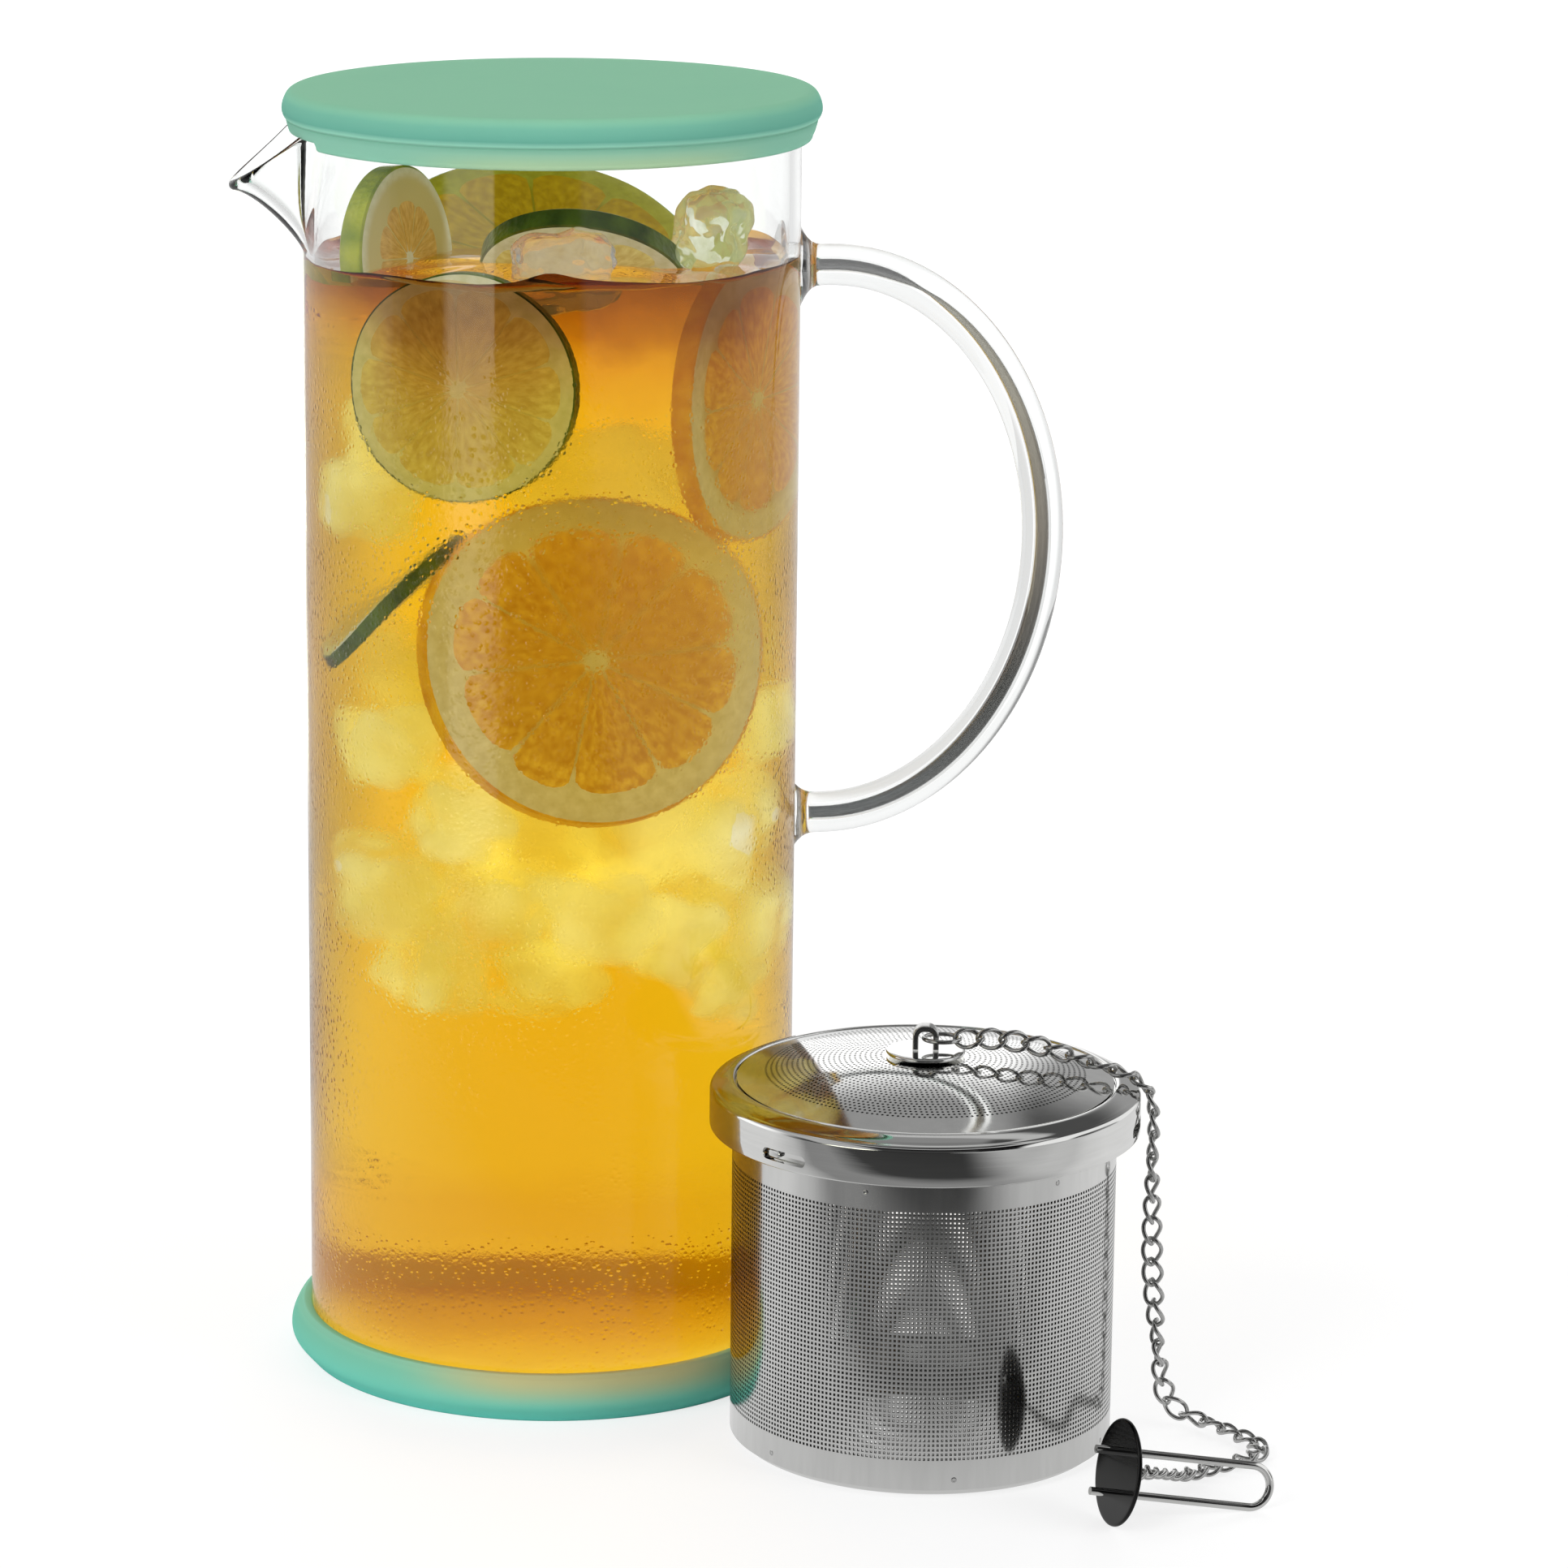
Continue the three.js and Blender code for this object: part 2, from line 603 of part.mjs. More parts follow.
function clipHairpin() {
  const half = clipSpan / 2;
  const bend = Array.from({ length: 9 }, (_, i) => {
    const angle = Math.PI * (i / 8 - 0.5);
    return new THREE.Vector3(clipLength + half * Math.cos(angle), half * Math.sin(angle), 0);
  });
  const path = new THREE.CatmullRomCurve3([
    new THREE.Vector3(-clipTail, -half, 0),
    new THREE.Vector3(clipLength / 2, -half, 0),
    ...bend,
    new THREE.Vector3(clipLength / 2, half, 0),
    new THREE.Vector3(-clipTail, half, 0),
  ], false, 'centripetal');
  return rod(path, clipWire, 26, 8).applyMatrix4(clipMatrix);
}

function clipEyelet() {
  const foot = discThickness / 2 + seatGap;
  const middle = discThickness / 2 + eyeletReach - chainWire / 2 - eyeletRadius;
  const bow = Array.from({ length: 9 }, (_, i) => {
    const angle = Math.PI * (i / 8 - 0.5);
    return new THREE.Vector3(middle + eyeletRadius * Math.cos(angle), 0, eyeletRadius * Math.sin(angle));
  });
  const loop = [bow[0].clone().setX(foot), ...bow, bow.at(-1).clone().setX(foot)];
  return rod(new THREE.CatmullRomCurve3(loop, false, 'centripetal'), chainWire, 12, 6).applyMatrix4(clipMatrix);
}

// The chain's route from the infuser's axis, in shares of the lid ring's radius.
// Over the lid: along the chain's bearing, and above the plate in shares of its height over the shoulder.
const lidRouteShares = [
  [0.24, 0.33], [0.32, 0.33], [0.43, 0.265], [0.54, 0.13], [0.65, -0.077],
  [0.76, -0.283], [0.86, -0.46], [0.95, -0.625], [1.025, -0.913], [1.057, -1.473],
];
// Down to the table: X and Y in shares of the radius, Z as a share of the plate's height.
const dropRouteShares = [
  [1.04, -0.205, 0.71], [1.05, -0.19, 0.56], [1.063, -0.172, 0.43],
  [1.1, -0.137, 0.26], [1.135, -0.105, 0.14], [1.157, -0.09, 0.092], [1.195, -0.09, 0.054], [1.25, -0.108, 0.036],
];
// Along the table: X and Y in shares of the radius, and how far a link stands on edge, in shares of its width.
const tableRouteShares = [
  [1.31, -0.145, 0.25], [1.37, -0.205, 0.17], [1.425, -0.28, 0.09], [1.485, -0.375, 0.04], [1.525, -0.47, 0.02],
  [1.495, -0.575, 0], [1.415, -0.64, 0], [1.3, -0.69, 0], [1.2, -0.745, 0],
];
// Up to the clip: shares of the way from the table to the eyelet, in X, Y and Z.
const riseRouteShares = [
  [0.24, 0.2, 0.1], [0.46, 0.44, 0.36], [0.68, 0.7, 0.7], [0.84, 0.88, 0.92],
];

const chainBearingTurn = radians(chainBearing);
const onBearing = (along, height) =>
  new THREE.Vector3(along * Math.cos(chainBearingTurn), along * Math.sin(chainBearingTurn), height);
const eyeletMiddle = clip.centre.clone().addScaledVector(clip.out,
  discThickness / 2 + eyeletReach - chainWire / 2 - eyeletRadius);

function chainPoints() {
  const onTable = linkThickness + seatGap / 2;
  const table = tableRouteShares.map(([x, y, lift]) =>
    new THREE.Vector3(x * lidRadius, y * lidRadius, onTable + lift * linkWidth));
  const last = table.at(-1);
  const rise = riseRouteShares.map(([x, y, z]) => new THREE.Vector3(
    lerp(last.x, eyeletMiddle.x, x), lerp(last.y, eyeletMiddle.y, y), lerp(last.z, eyeletMiddle.z, z)));
  // the last link reaches past the eyelet's wire to hang in it
  const heading = eyeletMiddle.clone().sub(rise.at(-1)).normalize();
  const end = eyeletMiddle.clone().addScaledVector(heading, hook - eyeletRadius);
  return [
    onBearing(ringReach - chainWire / 2 - hook, runHeight),
    ...lidRouteShares.map(([along, up]) =>
      onBearing(along * lidRadius, plateTop + up * (plateTop - lidShoulder))),
    ...dropRouteShares.map(([x, y, z]) => new THREE.Vector3(x * lidRadius, y * lidRadius, z * plateTop)),
    ...table,
    ...rise,
    end,
  ];
}

const chainPath = new THREE.CatmullRomCurve3(chainPoints(), false, 'centripetal');
chainPath.arcLengthDivisions = 800;

// Which way the flat of the links faces along the chain: a share of its length and a direction
const facings = [
  [0, [0, -0.7, 0.7]], [0.06, [0, -1, 0.1]], [0.1, [0, -0.9, -0.5]], [0.14, [0, -0.4, -0.9]],
  [0.18, [0, 0, -1]], [0.24, [-0.6, 0, -0.75]], [0.28, [-1, 0.1, 0]], [0.34, [-0.7, 0.7, 0]],
  [0.4, [0, 1, 0]], [0.46, [0.7, 0.7, 0]], [0.51, [1, 0, 0]], [0.545, [0.7, -0.7, 0]],
  [0.575, [0, -1, 0]], [0.6, [-0.15, -0.95, -0.4]], [0.625, [-0.4, -0.6, -0.65]], [0.65, [-0.2, -0.25, -0.95]],
  [0.69, [0, 0, -1]],
  [0.93, [0, 0, -1]], [0.985, [-0.57, 0.28, -0.76]], [1.01, [-0.57, 0.28, -0.76]],
];

function facingAt(share) {
  const next = facings.findIndex(([at]) => at > share);
  const [from, start] = facings[next - 1];
  const [to, end] = facings[next];
  return new THREE.Vector3(...start).lerp(new THREE.Vector3(...end), (share - from) / (to - from));
}

function chainLinks() {
  const curve = linkCurve(chainPath.getLength() / chainCount + 2 * hook + chainWire);
  return Array.from({ length: chainCount }, (_, i) => {
    const [start, end] = [chainPath.getPointAt(i / chainCount), chainPath.getPointAt((i + 1) / chainCount)];
    const along = end.clone().sub(start).normalize();
    const face = facingAt((i + 0.5) / chainCount);
    face.addScaledVector(along, -face.dot(along)).normalize();
    const wire = new THREE.TubeGeometry(curve, linkSteps, chainWire / 2, linkSides, true);
    const link = mesh(`chain_link_${String(i + 1).padStart(2, '0')}`, wire, materials.darkSteel);
    link.applyMatrix4(new THREE.Matrix4().makeBasis(along, face.clone().cross(along), face)
      .setPosition(start.lerp(end, 0.5)));
    return link;
  });
}

const jug = new THREE.Group();
jug.add(
  mesh('silicone_base', siliconeBase(), materials.silicone),
  mesh('glass_body', glassBody(), materials.glass),
  mesh('glass_handle', glassHandle(), materials.glass),
  mesh('silicone_lid', siliconeLid(), materials.silicone),
);

const bracket = new THREE.Group();
bracket.rotation.z = chainBearingTurn;
bracket.add(
  mesh('bracket_plate', bracketPlate(), materials.steel),
  mesh('chain_bracket', chainBracket(), materials.darkSteel),
  mesh('chain_ring', chainRing(), materials.darkSteel),
);

const infuser = new THREE.Group();
const standTurn = radians(standBearing);
infuser.position.set(Math.cos(standTurn), Math.sin(standTurn), 0)
  .multiplyScalar(glassRadius + standGap + lidRadius);
infuser.add(
  mesh('basket_wall', basketWall(), materials.steel),
  mesh('basket_floor', basketFloor(), materials.steel),
  mesh('basket_collar', basketCollar(), materials.steel),
  mesh('lid_ring', lidRing(), materials.steel),
  mesh('lid_dome', lidDome(), materials.steel),
  bracket,
  ...chainLinks(),
  mesh('clip_disc', clipDisc(), materials.darkSteel),
  mesh('clip_wire', clipHairpin(), materials.steel),
  mesh('clip_eyelet', clipEyelet(), materials.darkSteel),
);

const teaMaker = new THREE.Group();
teaMaker.add(jug, infuser);

export default teaMaker;
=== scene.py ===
"""Looks of the iced tea maker: jug, cap and boot, tea with ice and citrus, and the steel infuser with its chain."""
import json
from math import atan2, cos, degrees, exp, hypot, pi, radians, sin, sqrt
import random

import bmesh
import bpy
import numpy as np
from mathutils import Matrix, Vector, noise


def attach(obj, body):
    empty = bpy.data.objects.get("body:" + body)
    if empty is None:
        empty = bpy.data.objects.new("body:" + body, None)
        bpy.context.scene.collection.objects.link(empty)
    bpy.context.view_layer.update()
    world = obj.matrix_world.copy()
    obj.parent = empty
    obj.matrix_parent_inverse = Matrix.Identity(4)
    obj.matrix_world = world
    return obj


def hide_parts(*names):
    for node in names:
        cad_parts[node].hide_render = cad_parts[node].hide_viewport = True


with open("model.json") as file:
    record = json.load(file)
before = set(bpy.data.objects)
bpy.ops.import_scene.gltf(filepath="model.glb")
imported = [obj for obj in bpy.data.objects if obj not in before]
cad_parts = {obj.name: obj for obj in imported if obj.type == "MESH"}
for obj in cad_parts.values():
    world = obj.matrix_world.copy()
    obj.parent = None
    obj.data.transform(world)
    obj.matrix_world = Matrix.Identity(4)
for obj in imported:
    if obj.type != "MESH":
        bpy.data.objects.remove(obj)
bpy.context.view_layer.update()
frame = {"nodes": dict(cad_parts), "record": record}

random.seed(7)
MM = 0.001
TAU = 2 * pi
UP = Vector((0, 0, 1))

# Sizes in millimetres, as in the part's source
GLASS_R, GLASS_WALL, GLASS_FLOOR, HEEL = 48.5, 2.2, 3.6, 7.0
BOOT_FLOOR, SEAT_GAP = 2.6, 0.3
GLASS_BOTTOM = BOOT_FLOOR + SEAT_GAP
BORE = GLASS_R - GLASS_WALL
RIM_Z = 252.0
SPOUT_REACH, SPOUT_DROP, SPOUT_DEPTH = 14.599, 14.8, 28.5
SPOUT_RIM_SPREAD, SPOUT_ROOT_SPREAD, SPOUT_HOLD = 20.0, 9.0, 1.15
SEAM_CROWDING = 0.36
ROD_R, HANDLE_SPAN, HANDLE_MIDDLE, HANDLE_ARM, HANDLE_BOW = 4.1, 110.6, 164.2, 6.2, 44.0
UPPER_WELD, LOWER_WELD, WELD_LENGTH, BORE_R = 8.8, 6.9, 4.6, 1.1
STAND = (63.898, -64.301)
BASKET_R, SHEET, BASKET_HEM, BASKET_TOP, PAN_HEIGHT, PAN_CORNER = 36.85, 0.5, 1.7, 62.0, 6.8, 2.1
LID_R, LID_FOOT, LID_SHOULDER, RING_WALL, RING_CORNER = 41.25, 62.5, 70.5, 1.2, 1.2
SEAM_R, SEAM_Z, RING_LIP, DOME_TOP, DOME_RIM = 36.4, 71.9, 0.5, 76.5, 2.4
SLOT_LENGTH, SLOT_HEIGHT, SLOT_Z, SLOT_BEARING = 10.5, 2.2, 65.0, -148.3
LUG_WIDTH, LUG_HEIGHT, LUG_REACH = 3.2, 1.4, 0.85
CHAIN_BEARING, PLATE_R, PLATE_THICK = -11.3, 7.6, 0.7
BRACKET_SPAN, BRACKET_HEIGHT, BRACKET_WIDTH, BRACKET_STRAP = 5.0, 4.6, 3.2, 1.1
CHAIN_WIRE, LINK_TWIST = 0.85, 45.0
DISC_R, DISC_THICK, CLIP_WIRE, CLIP_SPAN, CLIP_LENGTH, CLIP_TAIL = 10.1, 0.8, 1.6, 7.9, 26.9, 5.2
EYELET_REACH, EYELET_R = 2.7, 1.5
TEA_Z = 222.0


# Mesh helpers
def lerp(a, b, t):
    return a + (b - a) * t


def arc(radius, height, size, start, end, steps=10):
    """Points of a round corner in a profile, by directions in degrees from outward."""
    angles = [radians(lerp(start, end, i / steps)) for i in range(steps + 1)]
    return [(radius + size * cos(a), height + size * sin(a)) for a in angles]


def flowing(points, steps=6):
    """A smooth curve through profile points."""
    p = [Vector(q) for q in points]
    p = [2 * p[0] - p[1]] + p + [2 * p[-1] - p[-2]]
    out = []
    for a, b, c, d in zip(p, p[1:], p[2:], p[3:]):
        for i in range(steps):
            t = i / steps
            out.append(0.5 * (2 * b + (c - a) * t + (2 * a - 5 * b + 4 * c - d) * t * t
                              + (3 * b - a - 3 * c + d) * t ** 3))
    return [tuple(v) for v in out + [p[-2]]]


def added(name, data):
    """A new object in the scene."""
    thing = bpy.data.objects.new(name, data)
    bpy.context.scene.collection.objects.link(thing)
    return thing


def mesh_of(name, verts, faces):
    """A mesh from points in millimetres."""
    mesh = bpy.data.meshes.new(name)
    mesh.from_pydata((np.array([tuple(v) for v in verts], float) * MM).tolist(), [], [list(f) for f in faces])
    return mesh


def finish_mesh(mesh, materials, face_slots=None, sharp=None):
    """Materials and smooth shading, with sharp edges from the given angle in degrees on."""
    for m in materials if isinstance(materials, (list, tuple)) else [materials]:
        mesh.materials.append(m)
    if face_slots is not None:
        mesh.polygons.foreach_set("material_index", face_slots)
    mesh.polygons.foreach_set("use_smooth", [True] * len(mesh.polygons))
    mesh.validate()
    if sharp:
        mesh.set_sharp_from_angle(angle=radians(sharp))


def solid(name, verts, faces, materials, body, replaces=None, slot=None, sharp=35, face_slots=None):
    """A shaded piece from points in millimetres, riding on its body."""
    mesh = mesh_of(name, verts, faces)
    finish_mesh(mesh, materials, face_slots, sharp)
    piece = added(name, mesh)
    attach(piece, body)
    if replaces:
        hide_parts(replaces)
    return piece


def grid_faces(rows, columns, closed_rows=False, closed_columns=False, start=0):
    """Quads of a grid of points that is stored row by row."""
    return [(start + r * columns + c, start + r * columns + (c + 1) % columns,
             start + (r + 1) % rows * columns + (c + 1) % columns, start + (r + 1) % rows * columns + c)
            for r in range(rows - (not closed_rows)) for c in range(columns - (not closed_columns))]


def lathe(profile, steps=144, centre=(0, 0)):
    """A profile turned about the Z axis. Points on the axis become one pole."""
    verts, faces, rings = [], [], []
    for r, z in profile:
        if r < 1e-6:
            rings.append([len(verts)] * steps)
            verts.append((centre[0], centre[1], z))
        else:
            rings.append(range(len(verts), len(verts) + steps))
            verts += [(centre[0] + r * cos(TAU * i / steps), centre[1] + r * sin(TAU * i / steps), z)
                      for i in range(steps)]
    for low, high in zip(rings, rings[1:]):
        for i in range(steps):
            j = (i + 1) % steps
            face = list(dict.fromkeys((low[i], low[j], high[j], high[i])))
            if len(face) > 2:
                faces.append(face)
    return verts, faces


def stand_point(r, turn, z):
    """A point by its reach and direction from the infuser's axis."""
    return STAND[0] + r * cos(turn), STAND[1] + r * sin(turn), z


def round_section(radius, sides):
    return [(radius * cos(TAU * i / sides), radius * sin(TAU * i / sides)) for i in range(sides)]


def sweep(path, section, first_side, closed=False, scales=None):
    """A section carried along a path without twist, with flat ends where the path is open."""
    path = [Vector(p) for p in path]
    n = len(path)
    verts, side = [], Vector(first_side)
    for i, p in enumerate(path):
        before, after = path[i - 1] if closed or i else p, path[(i + 1) % n] if closed or i < n - 1 else p
        along = (after - before).normalized()
        side = (side - side.dot(along) * along).normalized()
        across = along.cross(side)
        k = scales[i] if scales else 1
        verts += [p + k * (a * side + b * across) for a, b in section]
    faces = grid_faces(n, len(section), closed_rows=closed, closed_columns=True)
    if not closed:
        m = len(section)
        faces += [tuple(range(m))[::-1], tuple(range((n - 1) * m, n * m))]
    return verts, faces


def joined(*parts):
    verts, faces = [], []
    for v, f in parts:
        faces += [tuple(i + len(verts) for i in face) for face in f]
        verts += list(v)
    return verts, faces


def carried(part, matrix):
    return [matrix @ Vector(v) for v in part[0]], part[1]


def cut(piece, part):
    """Cuts a closed shape out of a piece."""
    tool = added("cutter", mesh_of("cutter", *part))
    change = piece.modifiers.new("cut", "BOOLEAN")
    change.operation, change.solver, change.object = "DIFFERENCE", "EXACT", tool
    shape = bpy.data.meshes.new_from_object(piece.evaluated_get(bpy.context.evaluated_depsgraph_get()))
    piece.modifiers.clear()
    piece.data = shape
    bpy.data.objects.remove(tool)


# Material helpers
class Nodes:
    """A new material or world and short ways to add nodes to it."""

    def __init__(self, name, world=False):
        self.owner = (bpy.data.worlds if world else bpy.data.materials).new(name)
        self.owner.use_nodes = True
        self.tree = self.owner.node_tree
        self.tree.nodes.clear()
        self.spot = self.add("TexCoord").outputs["Generated" if world else "Object"]

    def add(self, kind, *values, **settings):
        n = self.tree.nodes.new("ShaderNode" + kind)
        named = {k: settings.pop(k) for k in list(settings) if k in n.inputs}
        for k, v in settings.items():
            setattr(n, k, v)
        for socket, value in [*zip(n.inputs, values), *((n.inputs[k], v) for k, v in named.items())]:
            self.feed(socket, value)
        return n

    def feed(self, socket, value):
        if isinstance(value, bpy.types.Node):
            value = value.outputs[0]
        if isinstance(value, bpy.types.NodeSocket):
            self.tree.links.new(value, socket)
        elif value is not None:
            socket.default_value = value

    def math(self, operation, *values):
        return self.add("Math", *values, operation=operation).outputs[0]

    def plus(self, a, b):
        return self.math("ADD", a, b)

    def minus(self, a, b):
        return self.math("SUBTRACT", a, b)

    def times(self, a, b):
        return self.math("MULTIPLY", a, b)

    def reach(self, x, y):
        """The distance of a point from an axis."""
        return self.math("SQRT", self.plus(self.times(x, x), self.times(y, y)))

    def between(self, value, low, high, start=0.0, end=1.0, kind="LINEAR"):
        """Maps a value from one range to another."""
        return self.add("MapRange", value, low, high, start, end, interpolation_type=kind).outputs[0]

    def ease(self, value, low, high, start=0.0, end=1.0):
        return self.between(value, low, high, start, end, "SMOOTHSTEP")

    def noise(self, scale, detail=3.0, rough=0.5, where=None):
        return self.add("TexNoise", Vector=self.spot if where is None else where, Scale=scale, Detail=detail,
                        Roughness=rough).outputs[0]

    def cells(self, scale):
        return self.add("TexVoronoi", Vector=self.spot, Scale=scale).outputs["Distance"]

    def ramp(self, value, *stops):
        """A colour by a value. The stops are given in rising order."""
        n = self.add("ValToRGB", value)
        marks = n.color_ramp.elements
        for at, _ in stops[2:]:
            marks.new(at)
        for mark, (at, colour) in zip(marks, stops):
            mark.position, mark.color = at, colour
        return n.outputs[0]

    def mix(self, share, a, b, kind="RGBA"):
        """A colour, or a FLOAT, between two others."""
        n = self.add("Mix", data_type=kind)
        first, result = {"FLOAT": (2, 0), "RGBA": (6, 2)}[kind]
        for socket, value in zip((0, first, first + 1), (share, a, b)):
            self.feed(n.inputs[socket], value)
        return n.outputs[result]

    def axes(self):
        return self.add("SeparateXYZ", self.spot).outputs

    def bump(self, height, depth, strength):
        return self.add("Bump", Strength=strength, Distance=depth, Height=height).outputs[0]

    def blend(self, share, a, b):
        return self.add("MixShader", share, a, b)

    def lit(self, surface, tone, through, glow):
        """A surface that lets a share of the light through and gives off a share of its own colour as a painted glow.
        """
        if through:
            surface = self.blend(through, surface, self.add("BsdfTranslucent", tone))
        return self.blend(glow, surface, self.add("Emission", tone, 1.0))

    def shader(self, **values):
        n = self.add("BsdfPrincipled")
        for k, v in values.items():
            self.feed(n.inputs[k.replace("_", " ").title().replace("Ior", "IOR")], v)
        return n

    def done(self, surface, volume=None, lamps_pass=None):
        """Ends a material. Where lamps_pass is a tint, the light of the lamps goes through with that tint."""
        if lamps_pass:
            path = self.add("LightPath").outputs
            surface = self.blend(path["Is Shadow Ray"], surface, self.add("BsdfTransparent", lamps_pass))
        out = self.add("OutputMaterial", surface)
        if volume is not None:
            self.feed(out.inputs["Volume"], volume)
        return self.owner


def rgb(*values):
    """An sRGB colour of 0 to 255 as a linear one."""
    return tuple(v / 255 / 12.92 if v <= 10 else ((v / 255 + 0.055) / 1.055) ** 2.4 for v in values) + (1.0,)


def grey(value):
    return value, value, value, 1


WHITE = grey(1)


def steel(name, tone, rough, grain, depth, tint=(1.0, 1.0, 0.985)):
    """Bright steel: faint drawn grain and a little unevenness in its shine."""
    m = Nodes(name)
    streaks = m.noise(1.0, 2.0, 0.6, m.add("Mapping", m.spot, Scale=grain).outputs[0])
    smears = m.noise(70.0, 3.0)
    shade = m.between(streaks, 0.3, 0.7, tone * 0.96, tone * 1.03)
    colour = m.add("CombineXYZ", *(m.times(shade, t) for t in tint))
    shine = m.plus(m.between(smears, 0.35, 0.75, rough * 0.7, rough * 1.5), m.times(streaks, rough * 0.4))
    return m.done(m.shader(base_color=colour, metallic=1.0, roughness=shine, normal=m.bump(streaks, depth, 0.5)))


def silicone(name, stops, low, high, glow):
    """Matt silicone. Its tone follows the height, with painted shade and highlight where the stops give them, and a
    painted glow of the tea's light shows at the front: glow says where and how.
    """
    m = Nodes(name)
    x, y, z = m.axes()
    level = m.between(z, low, high)
    cloud = m.noise(30.0, 3.0, 0.6)
    colour = m.ramp(m.plus(level, m.between(cloud, 0.3, 0.7, -0.012, 0.012)), *stops)
    from_level, to_level, share, tone = glow
    side = m.ease(m.math("ABSOLUTE", m.minus(x, 0.002)), 0.014, 0.043, 1.0, 0.0)
    rise = m.ease(level, from_level, to_level)
    front = m.ease(y, -0.03, -0.045)
    # painted glow: the tea's amber light mixed into the colour at the front
    colour = m.mix(m.times(m.times(side, rise), m.times(front, share)), colour, tone)
    specks = m.noise(2600.0, 2.0, 0.6)
    return m.done(m.shader(base_color=colour, roughness=0.75, specular_ior_level=0.02,
                           subsurface_weight=0.12, subsurface_radius=(0.6, 1.0, 0.8), subsurface_scale=0.003,
                           normal=m.bump(specks, 0.00002, 0.5)))


def make_bed():
    """The tea's lowest faces, with a painted glow, brighter towards the front, where the light that comes down through
    it gathers.
    """
    m = Nodes("tea_bed")
    y = m.axes()[1]
    cloud = m.noise(60.0, 3.0)
    near = m.plus(m.between(y, 0.03, -0.035), m.between(cloud, 0.3, 0.7, -0.12, 0.12))
    tone = m.ramp(near, (0.0, (0.56, 0.36, 0.05, 1)), (0.5, (0.85, 0.56, 0.08, 1)), (1.0, (1.0, 0.70, 0.11, 1)))
    lit = m.blend(0.8, m.add("BsdfDiffuse", tone), m.add("Emission", tone, 1.15))
    clear = m.shader(base_color=(1, 0.9, 0.7, 1), roughness=0.1, ior=1.335, transmission_weight=1.0)
    return m.done(m.blend(0.75, clear, lit), lamps_pass=WHITE)


def make_glass(name, frost=False, tint=WHITE):
    """Clear glass, with beads of condensation and a light frost over the cold part of the jug."""
    m = Nodes(name)
    film, height, clear = 0.0, m.noise(45.0, 1.0, 0.4), (0.985, 0.995, 0.99, 1)
    if frost:
        z = m.axes()[2]
        cold = m.times(m.ease(z, 0.03, 0.07), m.ease(z, 0.215, 0.19))
        patches = m.ease(m.noise(21.0, 3.0, 0.55), 0.38, 0.60)
        low = m.times(m.ease(z, 0.044, 0.03), m.between(m.noise(70.0, 2.0), 0.3, 0.6, 0.35, 0.75))
        film = m.math("MAXIMUM", m.times(cold, patches), low)
        beads = m.ease(m.cells(760.0), 0.06, 0.42, 1.0, 0.0)
        skin = m.plus(m.times(beads, 0.8), m.times(m.noise(1100.0, 3.0, 0.65), 0.6))
        height = m.times(skin, film)
        # seen in mirrors, the wall beside the tea lets through only a dark brown: painted shade in the jug's reflection
        path = m.add("LightPath").outputs
        mirrored = m.times(path["Is Glossy Ray"], m.minus(1.0, path["Is Transmission Ray"]))
        clear = m.mix(m.times(mirrored, m.between(z, 0.205, 0.18)), clear, (0.20, 0.18, 0.13, 1))
    return m.done(m.shader(base_color=clear, roughness=m.between(film, 0.0, 1.0, 0.0, 0.17), ior=1.47,
                           transmission_weight=1.0, specular_tint=tint,
                           normal=m.bump(height, 0.00022 if frost else 0.0004, 0.7 if frost else 0.25)),
                  lamps_pass=(0.98, 0.99, 0.985, 1))


def make_bore():
    """The air line in the rod: a smoky streak, as wide and as dark as the photograph shows it."""
    m = Nodes("handle_air_line")
    level = m.plus(m.between(m.axes()[2], 0.109, 0.219), m.between(m.noise(30.0, 2.0), 0.3, 0.7, -0.03, 0.03))
    colour = m.ramp(level, (0.0, (0.14, 0.145, 0.145, 1)), (0.25, (0.08, 0.08, 0.075, 1)), (0.5, (0.20, 0.18, 0.15, 1)),
                    (0.75, (0.30, 0.28, 0.23, 1)), (0.93, (0.32, 0.31, 0.27, 1)), (1.0, (0.20, 0.20, 0.20, 1)))
    return m.done(m.shader(base_color=colour, roughness=0.02, ior=1.47, transmission_weight=1.0),
                  lamps_pass=(0.98, 0.99, 0.985, 1))


def make_tea():
    """Amber tea: clear and deep, with painted shade: browner just below its surface and a darker band near the bottom.
    """
    m = Nodes("tea_amber")
    x, y, z = m.axes()
    wave = m.noise(26.0, 4.0, 0.6)
    level = m.plus(m.between(z, 0.0, 0.224), m.between(wave, 0.3, 0.7, -0.025, 0.025))
    # towards the sides the painted shade just below the surface is weaker
    edge = m.ease(m.math("ABSOLUTE", x), 0.030, 0.045, 0.0, 0.07)
    level = m.minus(level, m.times(edge, m.between(level, 0.8, 0.9)))
    # the darker stops from 0.08 to 0.112 and from 0.88 up are painted shade
    colour = m.ramp(level, (0.0, rgb(247, 234, 136)), (0.045, rgb(247, 234, 136)), (0.08, rgb(236, 212, 126)),
                    (0.112, rgb(234, 208, 122)), (0.155, rgb(247, 233, 132)), (0.8, rgb(247, 233, 132)),
                    (0.88, rgb(240, 220, 122)), (0.925, rgb(222, 176, 96)), (0.955, rgb(160, 106, 66)),
                    (0.98, rgb(122, 76, 52)))
    reach = m.reach(x, y)
    surface = m.times(m.ease(reach, 0.0459, 0.0454), m.between(z, 0.19, 0.2))
    colour = m.mix(surface, colour, rgb(240, 206, 140))
    depth = m.add("VolumeAbsorption", (0.978, 0.847, 0.09, 1), 45.0)
    return m.done(m.shader(base_color=colour, roughness=0.0, ior=1.335, transmission_weight=1.0,
                           specular_tint=(0.05, 0.05, 0.05, 1)), volume=depth, lamps_pass=WHITE)


